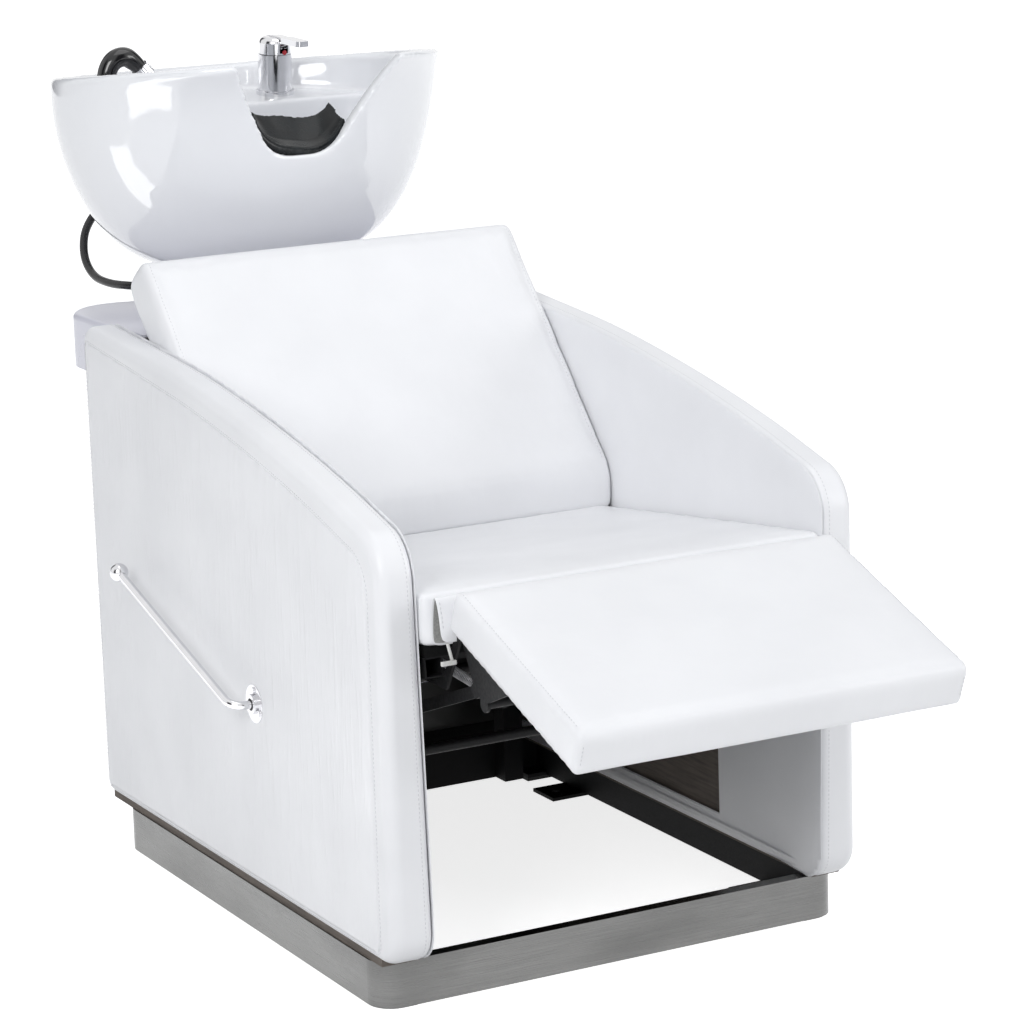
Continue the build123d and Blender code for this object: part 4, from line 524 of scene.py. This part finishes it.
plywood = finish("plywood", (0.115, 0.095, 0.080), 0.75)
uneven(plywood, "Noise", 1.0, stretch=(14, 14, 220), tint=(0.055, 0.045, 0.038), relief=0.2, depth=0.0005,
       limits=(0.35, 0.7))
uneven(plywood, "Noise", 9, tint=(0.16, 0.14, 0.12), limits=(0.5, 0.9))
paint(plywood, "left_panel_core", "right_panel_core")
staple_wire = finish("staple_wire", (0.012, 0.012, 0.012), 0.5)
uneven(staple_wire, "Noise", 300, tint=(0.03, 0.03, 0.03))
paint(staple_wire, "panel_staples")


# Seat: foam in white leather on a board with a black dust cover, on a black steel
# frame that spacers hold off the panels. It tips down 6.8 degrees to the rear.
def settle(piece):
    """Makes a piece's modifiers part of its mesh."""
    bpy.context.view_layer.update()
    graph = bpy.context.evaluated_depsgraph_get()
    made = bpy.data.meshes.new_from_object(piece.evaluated_get(graph))
    piece.modifiers.clear()
    piece.data = made


def stuff(piece, swell, voxel=0.0068, sink=0.0006):
    """Foam in its cover: even cells, filled by pressure; its foam holds out the corners."""
    cells = piece.modifiers.new("cells", "REMESH")
    cells.mode = "VOXEL"
    cells.voxel_size = voxel
    settle(piece)
    before = [vertex.co.copy() for vertex in piece.data.vertices]
    outward = [vertex.normal.copy() for vertex in piece.data.vertices]
    cover = piece.modifiers.new("cover", "CLOTH")
    cover.settings.quality = 4
    cover.settings.use_pressure = True
    cover.settings.uniform_pressure_force = 4
    cover.settings.effector_weights.gravity = 0
    cover.settings.tension_stiffness = 20
    cover.settings.compression_stiffness = 20
    cover.point_cache.frame_start = 1
    cover.point_cache.frame_end = 20
    for step in range(1, cover.point_cache.frame_end + 1):
        bpy.context.scene.frame_set(step)
    settle(piece)
    bpy.context.scene.frame_set(1)
    for vertex, start, out in zip(piece.data.vertices, before, outward):
        move = vertex.co - start
        move -= out * min(0, move.dot(out) + sink)
        if move.length > swell:
            move *= swell / move.length
        vertex.co = start + move
    smooth = piece.modifiers.new("smooth", "SMOOTH")
    smooth.factor = 0.5
    smooth.iterations = 2
    settle(piece)


def refine(piece, levels=1):
    """Gives a piece a finer surface."""
    finer = piece.modifiers.new("finer", "SUBSURF")
    finer.levels = finer.render_levels = levels


def sew(piece, rows, name, reach=0.0045, deep=0.0016):
    """Draws a pad in along its seams and lays the stitches on it, row by row."""
    work = bmesh.new()
    work.from_mesh(piece.data)
    work.normal_update()
    tree = BVHTree.FromBMesh(work)
    laid = []
    for row in rows:
        found = [tree.find_nearest(point) for point in row]
        laid.append([(hit[0], hit[1]) for hit in found])
    for row in laid:
        low = Vector(map(min, *[p for p, _ in row])) - Vector((0.02, 0.02, 0.02))
        high = Vector(map(max, *[p for p, _ in row])) + Vector((0.02, 0.02, 0.02))
        for vertex in work.verts:
            co = vertex.co
            if not all(low[i] < co[i] < high[i] for i in range(3)):
                continue
            near = min((co - p).length for p, _ in row)
            if near < 4 * reach:
                vertex.co -= vertex.normal * deep * math.exp(-(near / reach) ** 2)
    work.to_mesh(piece.data)
    work.free()
    tree = BVHTree.FromPolygons([v.co for v in piece.data.vertices],
                                [list(f.vertices) for f in piece.data.polygons])
    rows = []
    for row in laid:
        hits = [tree.find_nearest(p) for p, _ in row]
        rows.append([(hit[0] + hit[1] * 0.0002, hit[1]) for hit in hits])
    return stitch(name, rows, thread_and_hole_shade)


def steps(start, end, pitch=0.006):
    """Points on a straight line at an even pitch."""
    count = max(2, int((end - start).length / pitch))
    return [start.lerp(end, i / count) for i in range(count + 1)]


seat_place = Matrix.Translation((0, -0.450, 0.530)) @ Matrix.Rotation(math.radians(-6.8), 4, "X")
seat_size = (0.567, 0.551, 0.063)
work = bmesh.new()
slab(work, seat_size, seat_place @ Matrix.Translation((0, seat_size[1] / 2, -seat_size[2] / 2 - 0.002)))
work.normal_update()
seat_up = seat_place.to_3x3() @ Vector((0, 0, 1))
upright = [e for e in work.edges if abs((e.verts[0].co - e.verts[1].co).normalized().dot(seat_up)) > 0.9]
soften(work, upright, 0.010, 4)
top = max(work.faces, key=lambda f: f.calc_center_median().dot(seat_up))
rims = [e for e in top.edges if (e.verts[0].co.y + e.verts[1].co.y) / 2 < 0.08]
soften(work, rims, 0.009, 4)
seat_pad = new_piece("seat_pad", work, leather)
stuff(seat_pad, 0.004)
seat_pad.data.shade_smooth()
refine(seat_pad)
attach(seat_pad, "root")
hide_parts("seat_cushion")

dust_cover = finish("dust_cover", (0.005, 0.005, 0.0055), 0.95, Specular_IOR_Level=0.1)
uneven(dust_cover, "Noise", 900, tint=(0.010, 0.010, 0.010), relief=0.4, depth=0.0004)
paint(dust_cover, "seat_board", "leg_rest_board")
dark_ply = finish("dark_ply", (0.16, 0.12, 0.09), 0.7)
uneven(dark_ply, "Noise", 1.0, stretch=(12, 200, 200), tint=(0.09, 0.065, 0.05), relief=0.2, depth=0.0004)
paint(dark_ply, "backrest_board")
tube_black = finish("tube_black", (0.005, 0.005, 0.0055), 0.5, Specular_IOR_Level=0.18)
uneven(tube_black, "Noise", 240, tint=(0.011, 0.011, 0.012), gloss=(0.4, 0.6), relief=0.15, depth=0.0003)
paint(tube_black, "seat_frame", "stretcher", "hinge_plates", "drive_links", "leg_rest_brackets",
      "leg_rest_tie", "torque_shaft", "backrest_brackets")


# Backrest: a thick pad with a long sloping face, a rounded crest and sides sewn in
# as separate gussets, so that a row of stitches runs just inside each side edge.
back_corners = [  # y, z, radius
    (0.077, 0.457, 0.004), (0.074, 0.516, 0.060), (0.359, 0.834, 0.020),
    (0.418, 0.790, 0.022), (0.130, 0.476, 0.008),
]
back_half = 0.285
work = bmesh.new()
centre = Vector((0, sum(c[0] for c in back_corners) / 5, sum(c[1] for c in back_corners) / 5))
drawn = []
for y, z, radius in back_corners:
    away = Vector((0, y, z)) - centre
    drawn.append((y - math.copysign(0.0015, away.y), z - math.copysign(0.0010, away.z), radius))
face = rounded_face(work, drawn, -back_half)
made = bmesh.ops.extrude_face_region(work, geom=[face], use_keep_orig=True)
moved = [g for g in made["geom"] if isinstance(g, bmesh.types.BMVert)]
bmesh.ops.translate(work, verts=moved, vec=(2 * back_half, 0, 0))
work.normal_update()
ends = [f for f in work.faces if abs(f.normal.x) > 0.99]
rims = [e for e in work.edges if sum(f in ends for f in e.link_faces) == 1]
soften(work, rims, 0.005, 3)
back_pad = new_piece("back_pad", work, leather)
stuff(back_pad, 0.004, voxel=0.0062)
back_pad.data.shade_smooth()
rows = []
for sign in (-1, 1):
    x = sign * (back_half - 0.012)
    rows.append(steps(Vector((x, 0.090, 0.530)), Vector((x, 0.352, 0.822)))
                + steps(Vector((x, 0.372, 0.834)), Vector((x, 0.402, 0.812))))
back_stitches = sew(back_pad, rows, "back_stitches")
refine(back_pad)
for piece in (back_pad, back_stitches):
    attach(piece, "root")
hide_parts("backrest_cushion")


# Leg rest: a flat pad, shown raised, with a rounded front edge and gusset sides
# sewn along the top edge and down the front corners.
leg_place = Matrix.Translation((0, -0.499, 0.542)) @ Matrix.Rotation(math.radians(19.9), 4, "X")
leg_size = (0.530, 0.317, 0.056)
work = bmesh.new()
slab(work, leg_size, leg_place @ Matrix.Translation((0, -leg_size[1] / 2, -leg_size[2] / 2)))
leg_up = leg_place.to_3x3() @ Vector((0, 0, 1))
top = max(work.faces, key=lambda f: f.calc_center_median().dot(leg_up))
across = [e for e in top.edges if abs((e.verts[0].co - e.verts[1].co).normalized().x) > 0.9]
soften(work, across, 0.010, 5)
leg_pad = new_piece("leg_pad", work, leather)
stuff(leg_pad, 0.003, voxel=0.0052)
leg_pad.data.shade_smooth()
rows = []
for sign in (-1, 1):
    x = sign * 0.2575
    rows.append(steps(leg_place @ Vector((x, -0.012, 0.0)), leg_place @ Vector((x, -0.300, 0.0))))
    rows.append(steps(leg_place @ Vector((x, -0.3165, -0.014)), leg_place @ Vector((x, -0.3165, -0.044))))
leg_stitches = sew(leg_pad, rows, "leg_stitches", reach=0.004, deep=0.0012)
refine(leg_pad)
for piece in (leg_pad, leg_stitches):
    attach(piece, "leg_rest")
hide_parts("leg_rest_cushion")


# Flap: a strip of the same leather, folded over like a tent in the gap between the
# seat and the leg rest and tacked under both boards.
flap_half, flap_columns = 0.275, 26
flap_section = [(-0.4570, 0.464), (-0.4578, 0.488), (-0.4602, 0.510), (-0.4642, 0.5240), (-0.4690, 0.5280),
                (-0.4738, 0.5240), (-0.4785, 0.510), (-0.4822, 0.492), (-0.4845, 0.474)]
work = bmesh.new()
line = [work.verts.new((-flap_half, y, z)) for y, z in flap_section]
edges = [work.edges.new(pair) for pair in zip(line, line[1:])]
for _ in range(flap_columns):
    made = bmesh.ops.extrude_edge_only(work, edges=edges)
    moved = [g for g in made["geom"] if isinstance(g, bmesh.types.BMVert)]
    edges = [g for g in made["geom"] if isinstance(g, bmesh.types.BMEdge)
             and all(v in moved for v in g.verts)]
    bmesh.ops.translate(work, verts=moved, vec=(2 * flap_half / flap_columns, 0, 0))
suede = finish("suede", (0.42, 0.42, 0.41), 0.9)
uneven(suede, "Noise", 420, tint=(0.30, 0.30, 0.29), relief=0.4, depth=0.0004)
bmesh.ops.recalc_face_normals(work, faces=work.faces)
top = max(work.faces, key=lambda f: f.calc_center_median().z)
if top.normal.z < 0:
    bmesh.ops.reverse_faces(work, faces=work.faces)
mesh = bpy.data.meshes.new("seat_flap_leather")
work.to_mesh(mesh)
work.free()
mesh.materials.append(leather)
mesh.materials.append(suede)
flap = bpy.data.objects.new("seat_flap_leather", mesh)
bpy.context.collection.objects.link(flap)
thick = flap.modifiers.new("hide", "SOLIDIFY")
thick.thickness = 0.0018
thick.offset = 0
thick.material_offset = 1
thick.material_offset_rim = 0
refine(flap, 2)
settle(flap)
flap.data.shade_smooth()
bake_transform(flap)
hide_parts("seat_flap")
rows = []
for sign in (-1, 1):
    for part, away in ((flap_section[1:4], 1), (flap_section[5:8], -1)):
        rows.append([(Vector((sign * (flap_half - 0.0045), y + away * 0.0012, z)), Vector((0, away, 0.3)))
                     for y, z in part])
flap_stitches = stitch("flap_stitches", rows, thread_and_hole_shade)
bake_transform(flap_stitches)


# Tie: a small white plastic toggle on a strap that hangs from the flap's left end.
tie_white = finish("tie_white", (0.75, 0.75, 0.73), 0.45)
uneven(tie_white, "Noise", 300, tint=(0.68, 0.68, 0.66), relief=0.1, depth=0.0003)
work = bmesh.new()
for size, place, turn in (((0.003, 0.0045, 0.024), (-0.262, -0.4810, 0.4620), -14),
                          ((0.020, 0.004, 0.0055), (-0.266, -0.4850, 0.4500), 0)):
    slab(work, size, Matrix.Translation(place) @ Matrix.Rotation(math.radians(turn), 4, "Y"))
soften(work, work.edges[:], 0.0008, 2)
tie = new_piece("flap_tie", work, tie_white)
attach(tie, "root")


# Lever: a bent chrome rod with a ball on its end, on a chrome flange that three
# screws hold to the left panel; the shaft, cranks and links behind it are black.
chrome = finish("chrome", (0.78, 0.78, 0.80), 0.07, 1.0)
uneven(chrome, "Noise", 25, tint=(0.72, 0.72, 0.74), gloss=(0.05, 0.12), relief=0.02, depth=0.0005)
paint(chrome, "lever_flange", "flange_screws", "lever_rod", "lever_ball", "mixer_body", "mixer_turret",
      "shower_holder", "shower_collar", "drain_grid", "door_knob", "mixer_handle")
zinc = finish("zinc", (0.36, 0.36, 0.37), 0.36, 1.0)
uneven(zinc, "Noise", 90, tint=(0.22, 0.22, 0.23), gloss=(0.3, 0.5), relief=0.1, depth=0.0003)
paint(zinc, "return_springs", "shaft_collars", "door_hinge_frame", "door_hinge_leaf")
bush_grey = finish("bush_grey", (0.25, 0.25, 0.26), 0.55)
uneven(bush_grey, "Noise", 300, tint=(0.3, 0.3, 0.31), relief=0.1, depth=0.0003)
paint(bush_grey, "shaft_bushes", "waste_tail", "shower_face")


# Column and rear cap: black steel posts and arms under a moulded shell of cool white
# plastic. The rear panel and its service door are white outside and black inside, and
# a strip of black cloth hangs under the panel.
paint(frame_black, "column", "basin_bracket", "tilt_plate")
shell_white = finish("shell_white", (0.72, 0.72, 0.80), 0.30, Coat_Weight=0.1)
uneven(shell_white, "Noise", 6, tint=(0.69, 0.69, 0.77), gloss=(0.26, 0.38))
uneven(shell_white, "Noise", 800, relief=0.05, depth=0.0002)
paint(shell_white, "rear_cap", "cap_floor")
board_white = shell_white.copy()
board_white.name = "board_white"
tree = board_white.node_tree
shader = tree.nodes["Principled BSDF"]
place = add_node(tree, "TexCoord").outputs["Object"]
depth = add_node(tree, "SeparateXYZ", {0: place}).outputs["Y"]
behind = add_node(tree, "Math", {0: depth, 1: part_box("rear_panel")[0][1] + 0.001}, "LESS_THAN")
both = add_node(tree, "Mix", {0: behind.outputs[0], 6: shader.inputs["Base Color"].links[0].from_socket,
                              7: (0.006, 0.006, 0.006, 1)})
tree.links.new(both.outputs[2], shader.inputs["Base Color"])
paint(board_white, "rear_panel", "service_door")
work = bmesh.new()
slab(work, (0.560, 0.0012, 0.028), Matrix.Translation((0, 0.4390, 0.0590)))
hem = new_piece("rear_hem", work, dust_cover, smooth=False)
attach(hem, "root")
elbow_black = finish("elbow_black", (0.014, 0.014, 0.015), 0.25)
uneven(elbow_black, "Noise", 300, tint=(0.025, 0.025, 0.026), gloss=(0.2, 0.4), relief=0.1, depth=0.0003)
paint(elbow_black, "hose_elbow")


# Basin: one glazed ceramic casting, so every edge is soft, and its glaze is wet and
# bright. Its shape is the CAD casting with its edges rounded off.
glaze = finish("glaze", (0.88, 0.89, 0.915), 0.06, Specular_IOR_Level=0.6, Coat_Weight=0.4,
               Coat_Roughness=0.04)
uneven(glaze, "Noise", 5, tint=(0.86, 0.87, 0.90), gloss=(0.05, 0.09), relief=0.04, depth=0.002)


def copy_of(node):
    """A CAD node's shape as work for a new piece, with its doubles merged."""
    work = bmesh.new()
    work.from_mesh(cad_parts[node].data)
    bmesh.ops.remove_doubles(work, verts=work.verts, dist=0.00003)
    return work


def rounded_off(name, work, material, voxel, passes):
    """Casts a shape anew in even cells and rubs its edges round."""
    piece = new_piece(name, work, material, sharp=180.0)
    cells = piece.modifiers.new("cells", "REMESH")
    cells.mode = "VOXEL"
    cells.voxel_size = voxel
    rub = piece.modifiers.new("rub", "SMOOTH")
    rub.factor = 0.5
    rub.iterations = passes
    settle(piece)
    piece.data.shade_smooth()
    return piece


basin = rounded_off("basin_casting", copy_of("basin"), glaze, 0.0036, 8)
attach(basin, "basin")
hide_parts("basin")

brass = finish("brass", (0.62, 0.46, 0.22), 0.3, 1.0)
uneven(brass, "Noise", 80, tint=(0.5, 0.36, 0.17), gloss=(0.25, 0.4))
paint(brass, "mixer_shank", "supply_tails")


# Return springs: two long coil springs from the seat frame's front tube to the bar across the leg rest. On
# the real unit they stretch as the leg rest goes down; here they are one fixed copy of the CAD springs.
low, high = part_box("return_springs")
springs = new_piece("coil_springs", copy_of("return_springs"), zinc, sharp=60.0)
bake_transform(springs)
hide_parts("return_springs")


# Neck rest: a soft black rubber saddle pushed over the edge of the notch.
rubber = finish("neck_rubber", (0.004, 0.005, 0.006), 0.26, Specular_IOR_Level=0.25)
uneven(rubber, "Noise", 40, tint=(0.009, 0.012, 0.014), gloss=(0.18, 0.34), relief=0.25, depth=0.0008)
work = copy_of("neck_rest")
hub = Vector((0, 0, 1.000))
turn = Matrix.Translation(hub) @ Matrix.Rotation(math.radians(9), 4, "Y") @ Matrix.Translation(-hub)
bmesh.ops.transform(work, matrix=turn, verts=work.verts)
neck = rounded_off("neck_saddle", work, rubber, 0.0020, 8)
low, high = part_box("neck_rest")
for vertex in neck.data.vertices:
    lip = max(0, 1 - (vertex.co.y - low.y) / 0.022)
    vertex.co += vertex.normal * 0.0028 * lip * lip
    behind = min(1, max(0, (vertex.co.y - low.y - 0.022) / (high.y - low.y - 0.022)))
    across = min(1, abs(vertex.co.x) / (high.x * 0.92))
    vertex.co.z += 0.018 * behind * (1 - across * across)
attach(neck, "basin")
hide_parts("neck_rest")


# Mixer: chrome body and turret on the deck, with the hot and cold mark in front.
dot_enamel = finish("dot_enamel", (0.45, 0.02, 0.03), 0.3)
uneven(dot_enamel, "Noise", 400, tint=(0.35, 0.01, 0.02))
paint(dot_enamel, "mixer_dot")


# Hand shower: a glossy black moulding in one thick bow that widens into the head; it
# leans out of the chrome collar through a fluted chrome sleeve.
shower_black = finish("shower_black", (0.006, 0.006, 0.007), 0.10, Coat_Weight=0.3, Coat_Roughness=0.03)
uneven(shower_black, "Noise", 40, tint=(0.012, 0.012, 0.013), gloss=(0.07, 0.14), relief=0.03)
low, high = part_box("shower_collar")
foot = Vector(((low.x + high.x) / 2, (low.y + high.y) / 2 - 0.0035, high.z))
bow = [(0.001, -0.004, 0.80), (-0.004, 0.006, 0.80), (-0.0135, 0.0165, 0.84), (-0.024, 0.0275, 1.0),
       (-0.038, 0.0375, 1.12), (-0.055, 0.0335, 1.12), (-0.065, 0.020, 1.06), (-0.067, 0.006, 1.10),
       (-0.066, -0.006, 1.42), (-0.066, -0.016, 1.50)]
line = bpy.data.curves.new("shower_line", "CURVE")
line.dimensions = "3D"
line.resolution_u = 10
spline = line.splines.new("NURBS")
spline.points.add(len(bow) - 1)
for control, (x, z, swell) in zip(spline.points, bow):
    control.co = (foot.x + x, foot.y - z * 0.08, foot.z + z, 1)
    control.radius = swell
spline.order_u = 3
spline.use_endpoint_u = True
line.bevel_depth = 0.0130
line.bevel_resolution = 7
line.use_fill_caps = True
guide = bpy.data.objects.new("shower_guide", line)
bpy.context.collection.objects.link(guide)
bpy.context.view_layer.update()
shower = bpy.data.objects.new("shower_bow", bpy.data.meshes.new_from_object(guide))
bpy.context.collection.objects.link(shower)
bpy.data.objects.remove(guide)
shower.data.shade_smooth()
shower.data.set_sharp_from_angle(angle=math.radians(50))
shower.data.materials.clear()
shower.data.materials.append(shower_black)
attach(shower, "hand_shower")
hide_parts("hand_shower")

flutes = 26
work = bmesh.new()
lean = Matrix.Translation((foot.x - 0.0095, foot.y - 0.001, foot.z + 0.0125)) @ Matrix.Rotation(
    math.radians(-41), 4, "Y")
bmesh.ops.create_cone(work, cap_ends=True, cap_tris=False, segments=48, radius1=0.0122, radius2=0.0132,
                      depth=0.019, matrix=lean)
for step in range(flutes):
    around = lean @ Matrix.Rotation(2 * math.pi * step / flutes, 4, "Z") @ Matrix.Translation((0.0128, 0, 0))
    bmesh.ops.create_cone(work, cap_ends=True, cap_tris=False, segments=8, radius1=0.0010, radius2=0.0010,
                          depth=0.0165, matrix=around)
sleeve = new_piece("shower_sleeve", work, chrome)
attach(sleeve, "hand_shower")

low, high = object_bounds()
